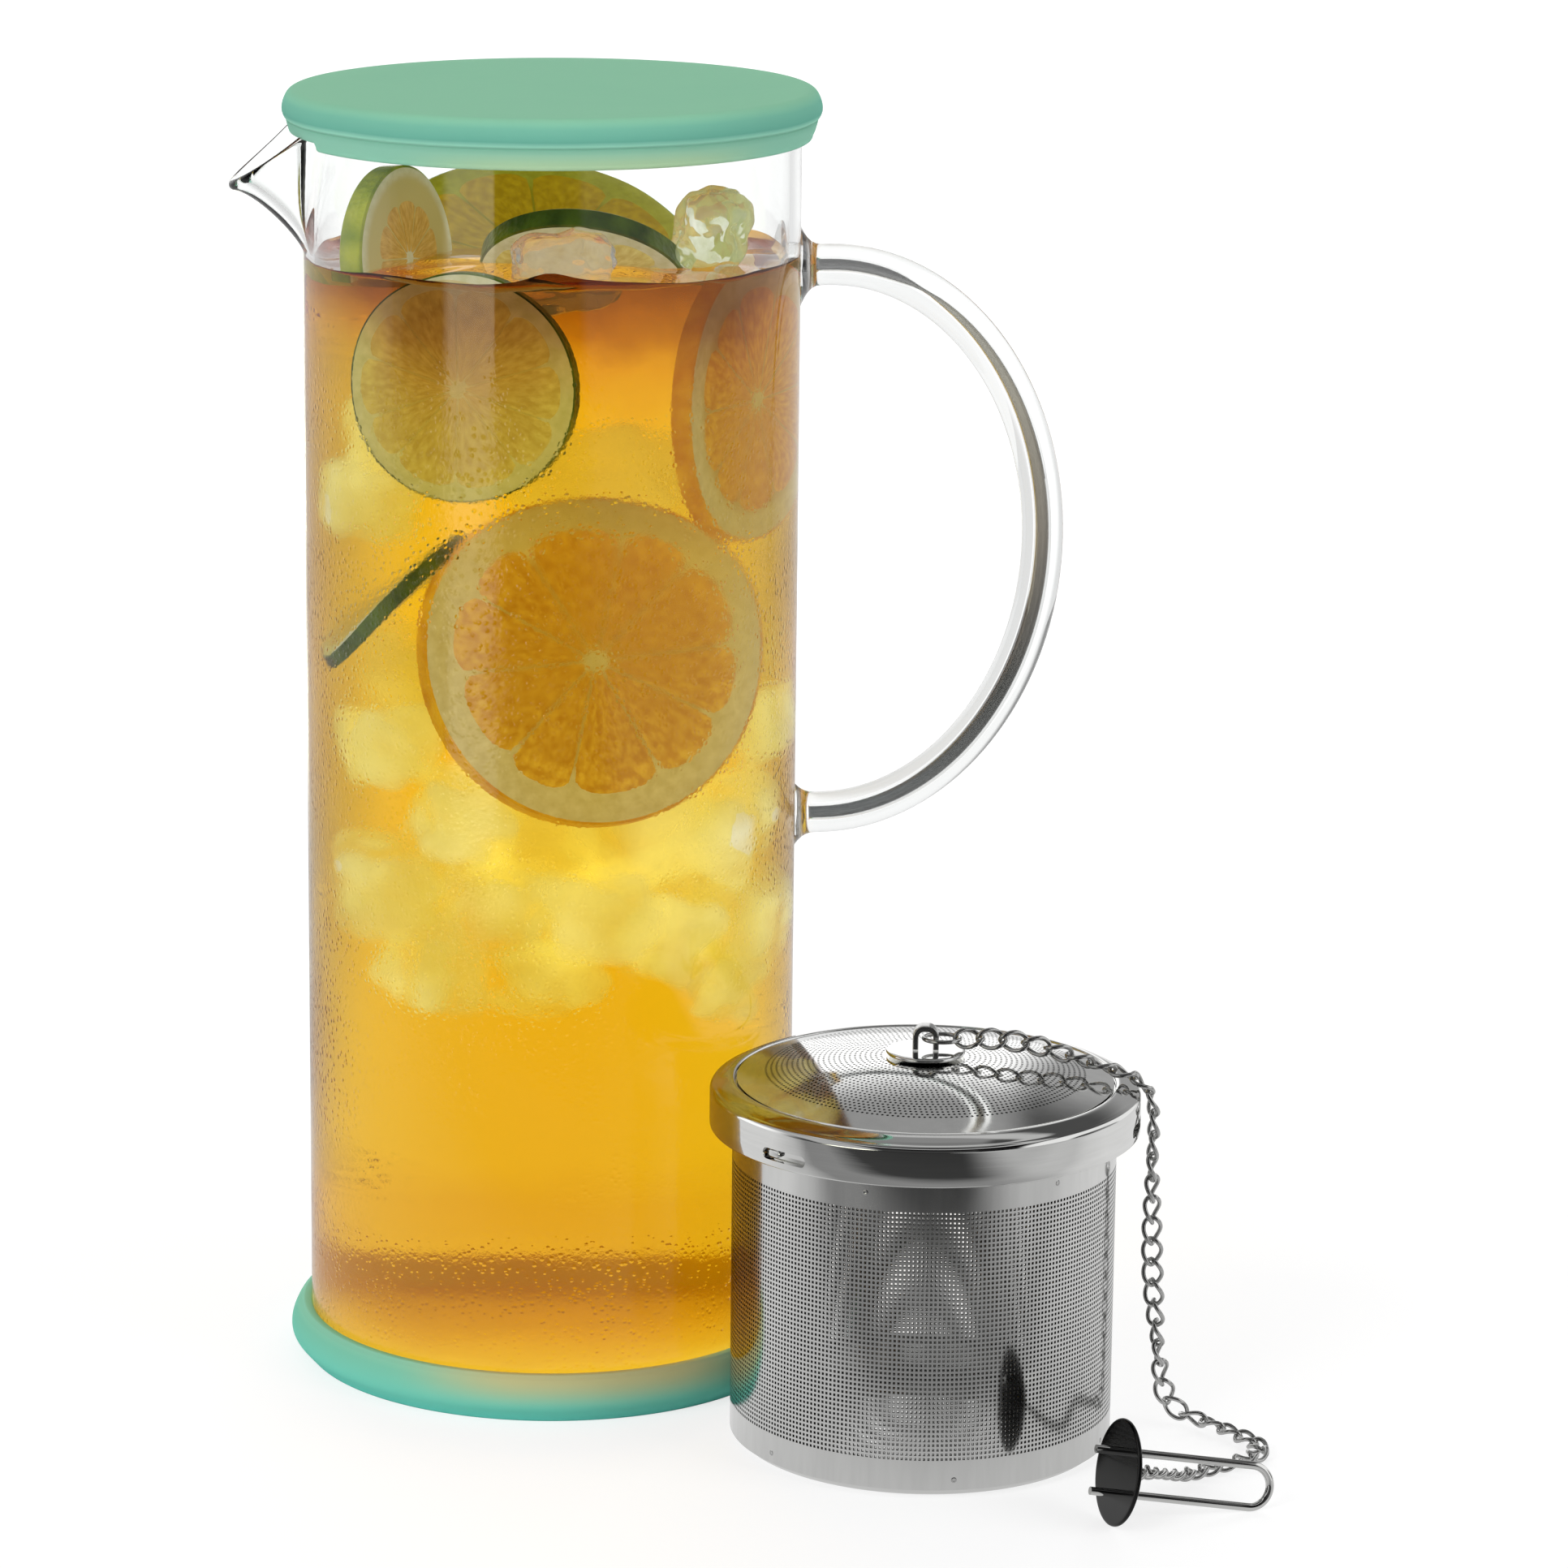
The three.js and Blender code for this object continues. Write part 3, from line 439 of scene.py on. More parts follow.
def make_ice(name, tint=(0.95, 0.97, 0.95, 1), milky=0.22):
    """Clear ice: glassy outside, a little cloudy towards its middle, where the cloud has a painted glow."""
    m = Nodes(name)
    facing = m.add("LayerWeight", 0.35).outputs["Facing"]
    cracks = m.noise(160.0, 4.0, 0.65)
    milk = m.times(m.ease(facing, 0.15, 0.75, 1.0, 0.0), m.between(cracks, 0.34, 0.62, milky * 0.45, milky))
    glass = m.shader(base_color=WHITE, roughness=0.02, ior=1.31, transmission_weight=1.0,
                     normal=m.bump(m.noise(110.0, 3.0), 0.0012, 0.6))
    haze = m.lit(m.add("BsdfDiffuse", tint), tint, 0.6, 0.35)
    return m.done(m.blend(milk, glass, haze), lamps_pass=WHITE)


def make_cloud_ice():
    """Ice in the tea: pale and milky in its middle with a painted glow, melting away without an edge."""
    m = Nodes("ice_cloudy")
    facing = m.add("LayerWeight", 0.5).outputs["Facing"]
    veins = m.noise(48.0, 2.0, 0.5)
    grain = m.noise(260.0, 2.0, 0.5)
    milk = m.times(m.ease(facing, 0.0, 0.66, 1.0, 0.0),
                   m.plus(m.between(veins, 0.36, 0.6, 0.5, 0.95), m.between(grain, 0.3, 0.7, -0.05, 0.05)))
    tone = m.mix(m.between(veins, 0.35, 0.62), (0.72, 0.74, 0.46, 1), (0.96, 1.0, 0.84, 1))
    lit = m.lit(m.add("BsdfDiffuse", tone), tone, 0.6, 0.3)
    return m.done(m.blend(milk, m.add("BsdfTransparent", WHITE), lit), lamps_pass=WHITE)


def flesh(name, colour, dark, clear, glow=0.42):
    """Citrus pulp: long vesicles that run out from the middle, wet and partly see-through, with a painted glow."""
    m = Nodes(name)
    x, y, z = m.axes()
    turn = m.math("ARCTAN2", y, x)
    reach = m.reach(x, y)
    polar = m.add("CombineXYZ", m.times(turn, 9.0), m.times(reach, 260.0), z)
    grains = m.noise(1.6, 3.0, 0.55, polar)
    tone = m.mix(m.between(grains, 0.38, 0.66), dark, colour)
    pulp = m.shader(base_color=tone, roughness=0.22, ior=1.36, normal=m.bump(grains, 0.0006, 0.6), coat_weight=0.2)
    return m.done(m.blend(clear, m.lit(pulp, tone, 0.62, glow), m.add("BsdfTransparent", tone)))


def pith(name, colour, edge, inner):
    """White of the peel, with a painted glow. Nearer the middle than the given radius it thins to the skin between the
    segments.
    """
    m = Nodes(name)
    x, y, _ = m.axes()
    reach = m.reach(x, y)
    fibre = m.noise(420.0, 3.0, 0.6)
    tone = m.mix(m.between(fibre, 0.3, 0.7), edge, colour)
    skin_tone = m.mix(m.times(m.ease(reach, inner, inner * 0.86), m.ease(reach, 0.0015, 0.004)), tone,
                      [c * k for c, k in zip(edge, (0.95, 0.84, 0.55, 1))])
    skin = m.shader(base_color=skin_tone, roughness=0.5, normal=m.bump(fibre, 0.0002, 0.6))
    return m.done(m.lit(skin, skin_tone, 0.35, 0.25))


def rind(name, colour, dark, glow=0.1):
    """The coloured skin of the peel, with its pores and a painted glow."""
    m = Nodes(name)
    pores = m.cells(900.0)
    tone = m.mix(m.between(m.noise(150.0, 3.0), 0.35, 0.65), dark, colour)
    skin = m.shader(base_color=tone, roughness=0.36, coat_weight=0.3, normal=m.bump(pores, 0.0003, 0.7))
    return m.done(m.lit(skin, tone, 0, glow))


GLASS, HANDLE_GLASS, TEA = make_glass("jug_glass_frosted", frost=True), make_glass("handle_glass"), make_tea()
INNER_GLASS = make_glass("jug_glass_inner", tint=(0.12, 0.12, 0.12, 1))
BORE_GLASS = make_bore()
MIRROR = steel("steel_polished", 0.80, 0.045, (60.0, 60.0, 900.0), 0.00001)
# a brighter copy of the polished steel for the dome: painted light
DOME_STEEL = steel("steel_dome", 0.96, 0.07, (300.0, 300.0, 300.0), 0.00001)
SATIN = steel("steel_perforated", 0.74, 0.10, (500.0, 500.0, 60.0), 0.00001)
# dark steel for the walls of the holes: painted shade inside the perforations
HOLE_SHADE = steel("steel_hole_painted_shade", 0.2, 0.3, (300.0, 300.0, 300.0), 0.00001)
CHAIN = steel("steel_chain", 0.52, 0.14, (300.0, 300.0, 300.0), 0.00003)
DARK = steel("steel_dark_disc", 0.03, 0.10, (160.0, 160.0, 160.0), 0.00001)
# the cap's stops paint light by height: a lighter top face, darker bands above and below the crest for painted shade, a
# pale line at 0.47 for a painted highlight, and the glow paints the tea's light on the front
CAP_SKIN = silicone("silicone_cap", [(0.0, rgb(134, 190, 166)), (0.3, rgb(130, 184, 162)), (0.42, rgb(118, 172, 150)),
                                     (0.47, rgb(142, 200, 178)), (0.56, rgb(100, 164, 146)), (0.8, rgb(116, 180, 158)),
                                     (1.0, rgb(147, 206, 172))], 0.2453, 0.2552, (0.45, 0.05, 0.45, rgb(196, 206, 150)))
# the boot's glow paints the tea's amber light onto the front of its upper edge
BOOT_SKIN = silicone("silicone_boot", [(0.0, rgb(112, 210, 196)), (0.4, rgb(114, 200, 180)), (0.8, rgb(122, 194, 168)),
                                       (1.0, rgb(140, 200, 170))], 0.0, 0.0096, (0.3, 0.95, 0.85, rgb(202, 188, 132)))
TEA_BED = make_bed()
CLOUDY_ICE, CLEAR_ICE = make_cloud_ice(), make_ice("ice_clear")
GREEN_ICE = make_ice("ice_green", (0.60, 0.66, 0.28, 1), 0.5)
LIME_FLESH = flesh("lime_flesh", rgb(244, 228, 152), rgb(222, 200, 116), 0.4)
LEMON_FLESH = flesh("lemon_flesh", rgb(252, 216, 92), rgb(226, 176, 56), 0.42)
PALE_FLESH = flesh("pale_flesh", rgb(236, 200, 110), rgb(208, 168, 76), 0.2, 0.3)
# a darker, olive copy of the lemon's pulp for the slice under the cap: painted shade
SHADED_LEMON_FLESH = flesh("lemon_flesh_painted_shade", rgb(208, 176, 26), rgb(180, 148, 12), 0.12, 0.42)
LIME_PITH = pith("lime_pith", rgb(236, 232, 196), rgb(216, 212, 160), 0.0172)
LEMON_PITH = pith("lemon_pith", rgb(232, 224, 206), rgb(214, 202, 170), 0.0235)
OLIVE_PITH = pith("olive_pith", rgb(204, 200, 56), rgb(178, 172, 32), 0.0265)
LIME_RIND = rind("lime_rind", rgb(92, 112, 24), rgb(48, 66, 10))
LEMON_RIND = rind("lemon_rind", rgb(240, 184, 50), rgb(216, 146, 24), 0.35)
GREEN_RIND = rind("lemon_green_rind", rgb(196, 202, 56), rgb(140, 160, 30))


# Jug glass: a wall with a pouring spout pulled out of its rim
def glass_wall(steps=224, rows=26):
    root = RIM_Z - SPOUT_DEPTH
    half = GLASS_WALL / 2
    bend = [Vector((GLASS_R, root)), Vector((GLASS_R + 0.04 * SPOUT_REACH, lerp(root, RIM_Z, 0.1))),
            Vector((GLASS_R + 0.62 * SPOUT_REACH, RIM_Z - SPOUT_DROP - 0.8 * GLASS_WALL)),
            Vector((GLASS_R + SPOUT_REACH - half, RIM_Z - SPOUT_DROP - half))]

    def edge(t):
        s = 1 - t
        at = s ** 3 * bend[0] + 3 * s * s * t * bend[1] + 3 * s * t * t * bend[2] + t ** 3 * bend[3]
        along = s * s * (bend[1] - bend[0]) + 2 * s * t * (bend[2] - bend[1]) + t * t * (bend[3] - bend[2])
        return at, along.normalized()

    def wall_row(t, inward):
        at, along = edge(t)
        return t, (GLASS_R - inward, lerp(root, RIM_Z - half, t)), (at.x - inward * along.y, at.y + inward * along.x)

    def rim_row(turn):
        at, along = edge(1)
        across, beyond = half * (1 - cos(turn)), half * sin(turn)
        return 1, (GLASS_R - across, RIM_Z - half + beyond), (at.x - across * along.y + beyond * along.x,
                                                               at.y + across * along.x + beyond * along.y)

    shares = [i / rows for i in range(rows + 1)]
    inner = HEEL - GLASS_WALL
    plain = [(0, GLASS_BOTTOM), *arc(GLASS_R - HEEL, GLASS_BOTTOM + HEEL, HEEL, -90, 0)]
    floor = [*arc(BORE - inner, GLASS_BOTTOM + GLASS_FLOOR + inner, inner, 0, -90), (0, GLASS_BOTTOM + GLASS_FLOOR)]
    rim = [rim_row(pi * i / 10) for i in range(1, 10)]
    # each row: its share of the spout's height, its point on the round wall and its point on the spout's ridge
    table = [(0, p, p) for p in plain] + [wall_row(t, 0) for t in shares] + rim + \
        [wall_row(t, GLASS_WALL) for t in shares[::-1]] + [(0, p, p) for p in floor]
    verts, faces = lathe([(p[0], p[1]) for _, p, _ in table], steps)
    out = []
    for t, wall, spout in table:
        for i in range(steps if wall[0] > 1e-6 else 1):
            even = TAU * i / steps - pi
            angle = even - SEAM_CROWDING * sin(even)
            spread = radians(lerp(SPOUT_ROOT_SPREAD, SPOUT_RIM_SPREAD, t))
            pull = cos(pi / 2 * angle / spread) ** 2 if abs(angle) < spread else 0
            r = lerp(wall[0], spout[0], pull ** SPOUT_HOLD)
            out.append((-r * cos(angle), -r * sin(angle), lerp(wall[1], spout[1], pull)))
    inner_start = 1 + (len(plain) + len(shares) + len(rim) + 1) * steps
    return out, faces, [int(min(f) >= inner_start) for f in faces]


verts, faces, slots = glass_wall()
solid("jug_glass_wall", verts, faces, [GLASS, INNER_GLASS], "jug", "glass_body", "jug_glass", sharp=60,
      face_slots=slots)


# Glass handle: a clear rod drawn round a bow and flared where it meets the wall. Both rod and air line follow the bow.
top, bottom, arms = HANDLE_MIDDLE + HANDLE_SPAN / 2, HANDLE_MIDDLE - HANDLE_SPAN / 2, GLASS_R + HANDLE_ARM
BOW = [(arms + HANDLE_BOW * cos(a), 0, HANDLE_MIDDLE + HANDLE_SPAN / 2 * sin(a))
       for a in (pi * (0.5 - i / 72) for i in range(73))]


def handle():
    foot = GLASS_R + 0.1
    ends = [0, 0.25, 0.6, 1.1, 1.8, 2.6, 3.6, 4.8]
    path = [(foot + d, 0, top) for d in ends] + BOW + [(foot + d, 0, bottom) for d in ends[::-1]]

    def flare(d, radius):
        t = min(1, d / WELD_LENGTH)
        return lerp(radius, ROD_R, 1 - (1 - t) ** 2.4) / ROD_R

    n = len(ends)
    scales = [flare(d, UPPER_WELD) for d in ends] + [1] * len(BOW) + [flare(d, LOWER_WELD) for d in ends[::-1]]
    verts, faces = sweep(path, round_section(ROD_R, 32), (0, 1, 0), scales=scales)
    verts = [Vector(v) for v in verts]
    for i, v in enumerate(verts):
        row = min(i // 32, len(path) - 1 - i // 32)
        if row < n:
            v.x -= (1 - ends[row] / ends[-1]) * (GLASS_R - sqrt(GLASS_R ** 2 - v.y ** 2))
    return verts, faces


def bore_line():
    """The fine air line inside the rod. Its faces look inwards, so that light leaves the glass there."""
    path = [(arms - 3.4, 0, top), (arms - 1.8, 0, top), *BOW, (arms - 1.8, 0, bottom), (arms - 3.4, 0, bottom)]
    widths = flowing([(0, 1.0), (8, 0.85), (12, 0.25), (15, 0.5), (22, 0.8), (36, 1.1), (58, 1.2), (76, 1.05)], 12)
    scales = [float(np.interp(i, [w[0] for w in widths], [w[1] for w in widths])) for i in range(len(path))]
    verts, faces = sweep(path, round_section(BORE_R, 20), (0, 1, 0), scales=scales)
    return verts, [f[::-1] for f in faces]


rod, bore_shell = handle(), bore_line()
verts, faces = joined(rod, bore_shell)
solid("jug_glass_handle", verts, faces, [HANDLE_GLASS, BORE_GLASS], "jug", "glass_handle", "jug_glass", sharp=60,
      face_slots=[0] * len(rod[1]) + [1] * len(bore_shell[1]))


# Silicone boot and cap
def boot():
    inner, heel = GLASS_R + 0.05, HEEL + 0.05
    outside = flowing([(49.6, 0), (51.1, 1.68), (52.25, 3.1), (52.6, 4.41), (52.35, 6.0), (51.6, 7.8), (50.95, 8.9)], 5)
    return lathe([(0, 0), (48.9, 0), *outside, *arc(49.9, 9.1, 0.5, 20, 90, 6), (48.8, 9.55), (inner, 9.35),
                  *arc(inner - heel, BOOT_FLOOR + heel, heel, 0, -90)[1:], (0, BOOT_FLOOR)], 192)


verts, faces = boot()
solid("boot_skin", verts, faces, BOOT_SKIN, "jug_base", "silicone_base", "silicone", sharp=50)


NOTCH_FOOT, NOTCH_HEAD, PLUG_NOTCH = radians(35), radians(27.5), radians(20)


def cap():
    under = RIM_Z + SEAT_GAP
    top, plug, skirt, inner = under + 2.9, BORE - 0.5, 50.6, GLASS_R + SEAT_GAP
    foot, ledge = top - 9.9, top - 5.7
    edge = (skirt - inner) / 2
    crest = flowing([(51.62, ledge + 0.05), (52.05, ledge + 0.5), (52.4, top - 4.1), (52.24, top - 2.7),
                     (51.5, top - 1.05), (50.4, top - 0.22), (48.8, top)], 6)
    body = lathe([(0, under), (plug - 2, under), *arc(plug - 1, under - 4.8, 1, 180, 360, 8), (plug, under),
                  (inner, under), *arc(skirt - edge, foot + edge, edge, 180, 360, 8),
                  *flowing([(skirt + 0.02, foot + 1.0), (51.1, foot + 2.1), (51.55, ledge - 0.5),
                            (51.5, ledge - 0.12)], 4), *crest, (40, top), (0, top)], 192)
    piece = solid("cap_skin", *body, CAP_SKIN, "jug_cap", "silicone_lid", "silicone", sharp=50)
    # the notch at the spout: through the skirt, then through the plug ring
    head, low = skirt * sin(NOTCH_HEAD), skirt * sin(NOTCH_FOOT)
    knee, knee_z = lerp(low, head, 0.55), lerp(foot, ledge, 0.35)
    outline = [(-low, foot - 1.5), (low, foot - 1.5), (low, foot),
               *flowing([(low, foot), (knee, knee_z), (head, ledge)], 5)[1:],
               *flowing([(-head, ledge), (-knee, knee_z), (-low, foot)], 5)]
    verts = [(x, y, z) for x in (-GLASS_R - 14, -BORE + 7) for y, z in outline]
    n = len(outline)
    cut(piece, (verts, [tuple(range(n)), tuple(range(n, 2 * n))[::-1]]
                + [(i, i + n, (i + 1) % n + n, (i + 1) % n) for i in range(n)]))
    ring = [(r * cos(a), r * sin(a)) for r, turns in ((51.0, range(25)), (BORE + SEAT_GAP, range(24, -1, -1)))
            for a in (pi - PLUG_NOTCH + 2 * PLUG_NOTCH * i / 24 for i in turns)]
    n = len(ring)
    verts = [(x, y, z) for z in (foot - 0.5, under) for x, y in ring]
    cut(piece, (verts, [tuple(range(n))[::-1], tuple(range(n, 2 * n))]
                + [(i, (i + 1) % n, (i + 1) % n + n, i + n) for i in range(n)]))
    piece.data.polygons.foreach_set("use_smooth", [True] * len(piece.data.polygons))
    piece.data.set_sharp_from_angle(angle=radians(40))


cap()


# Tea: fills the bore, with a raised edge where it clings to the glass
BED_FRONT, BED_BACK = 1.5, 6.0


def tea():
    radius, floor = BORE + 0.12, GLASS_BOTTOM + GLASS_FLOOR - 0.12
    heel, steps = HEEL - GLASS_WALL, 160
    side = [(0, floor), (20, floor), *arc(radius - heel, floor + heel, heel, -90, 0), (radius, 60), (radius, 120),
            (radius, 180), (radius, 214)]
    top = [radius - d for d in (0, 0.25, 0.7, 1.4, 2.4, 4, 6.5, 10, 14, 19, 24, 30, 36, 41, 44.5)]
    verts, faces = lathe(side + [(r, TEA_Z) for r in top] + [(0, TEA_Z)], steps)
    out = []
    for x, y, z in verts:
        r, turn = hypot(x, y), atan2(y, x)
        if z > TEA_Z - 1:
            ripple = noise.noise(Vector((x, y, 0)) * 0.09) * 0.9 + noise.noise(Vector((x, y, 5)) * 0.2) * 0.35
            cling = 1.5 + 0.5 * sin(3 * turn + 0.6) + 0.35 * sin(7 * turn)
            bump = 1.5 * exp(-((degrees(turn) + 98) / 6) ** 2)
            z += ripple * min(1, (radius - r) / 5 + 0.3) + (cling + bump) * exp(-(radius - r) / 1.1)
        out.append((x, y, z))
    return out, faces


verts, faces = tea()
bed = [z < GLASS_BOTTOM + GLASS_FLOOR + (BED_FRONT if y < 0 else BED_BACK) for x, y, z in verts]
solid("tea", verts, faces, [TEA, TEA_BED], "jug", sharp=80, face_slots=[int(all(bed[i] for i in f)) for f in faces])


# Ice: 20 cloudy lumps in the tea and 2 clear ones at its surface
def lump(name, centre, size, seed, material, turn=0.0, detail=5, box=3.2):
    """A rounded box with slow and fine unevenness."""
    rng = random.Random(seed)
    shape = bpy.data.meshes.new(name)
    bm = bmesh.new()
    bmesh.ops.create_icosphere(bm, subdivisions=detail, radius=1)
    lift = Vector((rng.random(), rng.random(), rng.random())) * 40
    rot = Matrix.Rotation(turn, 3, "Z") @ Matrix.Rotation(rng.uniform(-0.5, 0.5), 3, "X")
    for v in bm.verts:
        p = v.co.copy()
        boxed = p / sum(abs(c) ** box for c in p) ** (1 / box)
        q = boxed * (1 + 0.26 * noise.noise(p * 1.3 + lift) + 0.07 * noise.noise(p * 3.5 + lift))
        v.co = (rot @ Vector((q.x * size[0], q.y * size[1], q.z * size[2])) + Vector(centre)) * MM
    bm.to_mesh(shape)
    bm.free()
    finish_mesh(shape, material)
    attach(added(name, shape), "jug")


for i, (x, y, z, s) in enumerate([
        (-30, -16, 130, 9.5), (-19, -25, 116, 11.0), (-30, -14, 101, 11.5), (-12, -27, 99, 10.5), (-23, -21, 85, 9.5),
        (4, -29, 98, 11.5), (18, -24, 92, 11.0), (25, -20, 112, 12.0), (32, -11, 93, 10.5), (12, -18, 112, 11.5),
        (-3, -20, 84, 9.0), (28, -16, 80, 8.5), (-33, -10, 177, 9.5), (-29, -8, 190, 8.5), (6, 6, 122, 12.5),
        (-14, 6, 140, 12.5), (20, 10, 142, 12.5), (-6, -8, 108, 12.0), (34, -8, 130, 9.0), (10, 16, 178, 12.0)]):
    lump(f"ice_cube_{i + 1:02d}", (x, y, z), (s * 1.12, s * 0.95, s * 0.95), 40 + i, CLOUDY_ICE, turn=i * 1.3, detail=4)
lump("ice_cube_top", (-0.8, -24, 223), (9.6, 6.0, 7.0), 3, CLEAR_ICE, turn=0.2)
lump("ice_cube_right", (28.5, -14, 228.5), (6.1, 6.0, 8.0), 9, GREEN_ICE, turn=0.5, box=5.0)


# Citrus slices: rind, pith and raised segments of pulp
def citrus(name, centre, normal, radius, thick, segments, materials, seed, spin, floor=None, pulp=0.86):
    """A round slice. Where a floor is given, all below that height is cut off."""
    rng = random.Random(seed)
    half, ring = thick / 2, radius * 0.9
    profile = [(0, -half), (ring * 0.5, -half), (ring, -half), *arc(radius - half * 0.5, 0, half, -72, 72, 8),
               (ring, half), (ring * 0.5, half), (0, half)]
    profile = [(min(r, radius), z) for r, z in profile]
    verts, faces = lathe(profile, 96)
    slots = []
    for f in faces:
        r = sum(hypot(verts[i][0], verts[i][1]) for i in f) / len(f)
        slots.append(2 if r > radius * 0.965 else 1)
    cuts = [TAU * (i + rng.uniform(-0.12, 0.12)) / segments for i in range(segments)]
    for i in range(segments):
        a, b = cuts[i], cuts[(i + 1) % segments] + (TAU if i == segments - 1 else 0)
        inner, outer = radius * rng.uniform(0.06, 0.09), radius * rng.uniform(pulp - 0.012, pulp + 0.012)
        mid, wide = (a + b) / 2, (b - a) / 2
        for face_z, way in ((half, 1), (-half, -1)):
            rows = []
            for j in range(7):
                s = j / 6
                row = []
                for k in range(11):
                    u = k / 10 * 2 - 1
                    r = lerp(inner, outer, s)
                    gap = radius * 0.0075 / max(r, 1)
                    corner = 1 - 0.07 * abs(u) ** 4 * s
                    room = wide - gap - 0.05 * wide * max(0, s - 0.85) / 0.15
                    row.append((r * corner, mid + u * room, u))
                rows.append((s, row))
            start = len(verts)
            for s, row in rows:
                for r, t, u in row:
                    rise = 0.32 * (1 - u ** 6) * min(1, 6 * s + 0.1) * min(1, (1 - s) * 8)
                    rough = 0.12 * noise.noise(Vector((r * cos(t), r * sin(t), seed)) * 0.8)
                    rise = 0.03 + max(0, rise + rough * (rise > 0.1))
                    verts.append((r * cos(t), r * sin(t), face_z + way * rise))
            made = grid_faces(7, 11, start=start)
            faces += made if way > 0 else [f[::-1] for f in made]
            slots += [0] * len(made)
    towards = Vector(normal).normalized()
    matrix = towards.to_track_quat("Z", "Y").to_matrix().to_4x4() @ Matrix.Rotation(spin, 4, "Z")
    shape = mesh_of(name, verts, faces)
    finish_mesh(shape, materials, slots, 50)
    piece = added(name, shape)
    piece.matrix_world = Matrix.Translation(Vector(centre) * MM) @ matrix
    if floor is not None:
        bm = bmesh.new()
        bm.from_mesh(shape)
        inverse = piece.matrix_world.inverted()
        level, down = inverse @ Vector((0, 0, floor * MM)), inverse.to_3x3() @ -UP
        ends = bmesh.ops.bisect_plane(bm, geom=bm.verts[:] + bm.edges[:] + bm.faces[:], plane_co=level,
                                      plane_no=down, clear_outer=True)
        rims = [e for e in ends["geom_cut"] if isinstance(e, bmesh.types.BMEdge) and e.is_boundary]
        bmesh.ops.edgenet_fill(bm, edges=rims, mat_nr=1)
        bm.to_mesh(shape)
        bm.free()
        shape.set_sharp_from_angle(angle=radians(50))
    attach(piece, "jug")


LIME, LEMON = (LIME_FLESH, LIME_PITH, LIME_RIND), (LEMON_FLESH, LEMON_PITH, LEMON_RIND)
GREEN_LEMON, GREEN_LIME = (SHADED_LEMON_FLESH, OLIVE_PITH, GREEN_RIND), (PALE_FLESH, LIME_PITH, GREEN_RIND)
citrus("lime_slice_front", (-20.2, -29.8, 202), (-0.42, -0.907, 0.03), 21.8, 3.2, 10, LIME, 5, 0.3, pulp=0.88)
citrus("lemon_slice_front", (3.5, -27.0, 148), (0.15, -0.94, 0.30), 32.2, 4.8, 10, LEMON, 8, 0.1, pulp=0.81)
citrus("lemon_slice_right", (30.2, -12.5, 196), (0.9, -0.42, 0.02), 27.5, 4.6, 10, LEMON, 11, 0.6, pulp=0.79)
citrus("lime_slice_edge", (-28.9, -11.2, 157.6), (-0.641, 0.287, 0.70), 19.0, 3.2, 9, LIME, 14, 0.2)
citrus("lime_slice_top_left", (-30, 0.5, 222.2), (0.8, -0.55, 0.1), 18.0, 5.0, 10, GREEN_LIME, 17, 0.5, 220.2, 0.62)
citrus("lemon_slice_top", (-0.5, 13, 215.6), (0.05, -0.52, 0.85), 34.0, 7.0, 10, GREEN_LEMON, 21, 0.2, 217, 0.86)
citrus("lime_slice_surface", (6, -4, 219.5), (-0.2, -0.6, -0.77), 20.5, 4.4, 10, LIME, 24, 0.4, 219)


# Infuser basket: a perforated sheet in two halves with plain bands above and below, a pan and a collar
HOLE_COLUMNS, HOLE_ROWS, HOLE_LOW, HOLE_HIGH, HOLE_SHARE = 276, 53, 7.4, 56.6, 0.56


def perforated_half(first):
    """Half of the wall from the given column on, with its faces' materials: the sheet's or the painted shade on the
    holes' edges.
    """
    half = HOLE_COLUMNS // 2
    pitch = (HOLE_HIGH - HOLE_LOW) / HOLE_ROWS
    edges = (1 - HOLE_SHARE) / 2, (1 + HOLE_SHARE) / 2
    turns = [TAU * (first + i + s) / HOLE_COLUMNS for i in range(half) for s in edges]
    turns = [TAU * first / HOLE_COLUMNS] + turns + [TAU * (first + half) / HOLE_COLUMNS]
    levels = [HOLE_LOW + pitch * (i + s) for i in range(HOLE_ROWS) for s in edges]
    levels = [BASKET_HEM, HOLE_LOW] + levels + [HOLE_HIGH, BASKET_TOP]
    rows, columns = len(levels), len(turns)
    verts = [stand_point(r, t, z) for r in (BASKET_R, BASKET_R - SHEET) for z in levels for t in turns]
    n = rows * columns
    faces, slots = [], []

    def at(layer, r, c):
        return layer * n + r * columns + c

    def is_hole(r, c):
        return 2 <= r < rows - 3 and r % 2 == 0 and 1 <= c < columns - 2 and c % 2 == 1

    for r in range(rows - 1):
        for c in range(columns - 1):
            a, b, d, e = (r, c), (r, c + 1), (r + 1, c + 1), (r + 1, c)
            if is_hole(r, c):
                for p, q in ((a, b), (b, d), (d, e), (e, a)):
                    faces.append((at(0, *p), at(1, *p), at(1, *q), at(0, *q)))
                slots += [1] * 4
            else:
                faces.append(tuple(at(0, *p) for p in (a, b, d, e)))
                faces.append(tuple(at(1, *p) for p in (e, d, b, a)))
                slots += [0] * 2
    for c in range(columns - 1):
        faces.append((at(0, 0, c), at(1, 0, c), at(1, 0, c + 1), at(0, 0, c + 1)))
        faces.append((at(0, rows - 1, c), at(0, rows - 1, c + 1), at(1, rows - 1, c + 1), at(1, rows - 1, c)))
        slots += [0] * 2
    return verts, faces, slots


for name, first in (("basket_mesh_left", 0), ("basket_mesh_right", HOLE_COLUMNS // 2)):
    verts, faces, slots = perforated_half(first)
    solid(name, verts, faces, [SATIN, HOLE_SHADE], "infuser_basket", "basket_wall", "polished_steel", sharp=40,
          face_slots=slots)

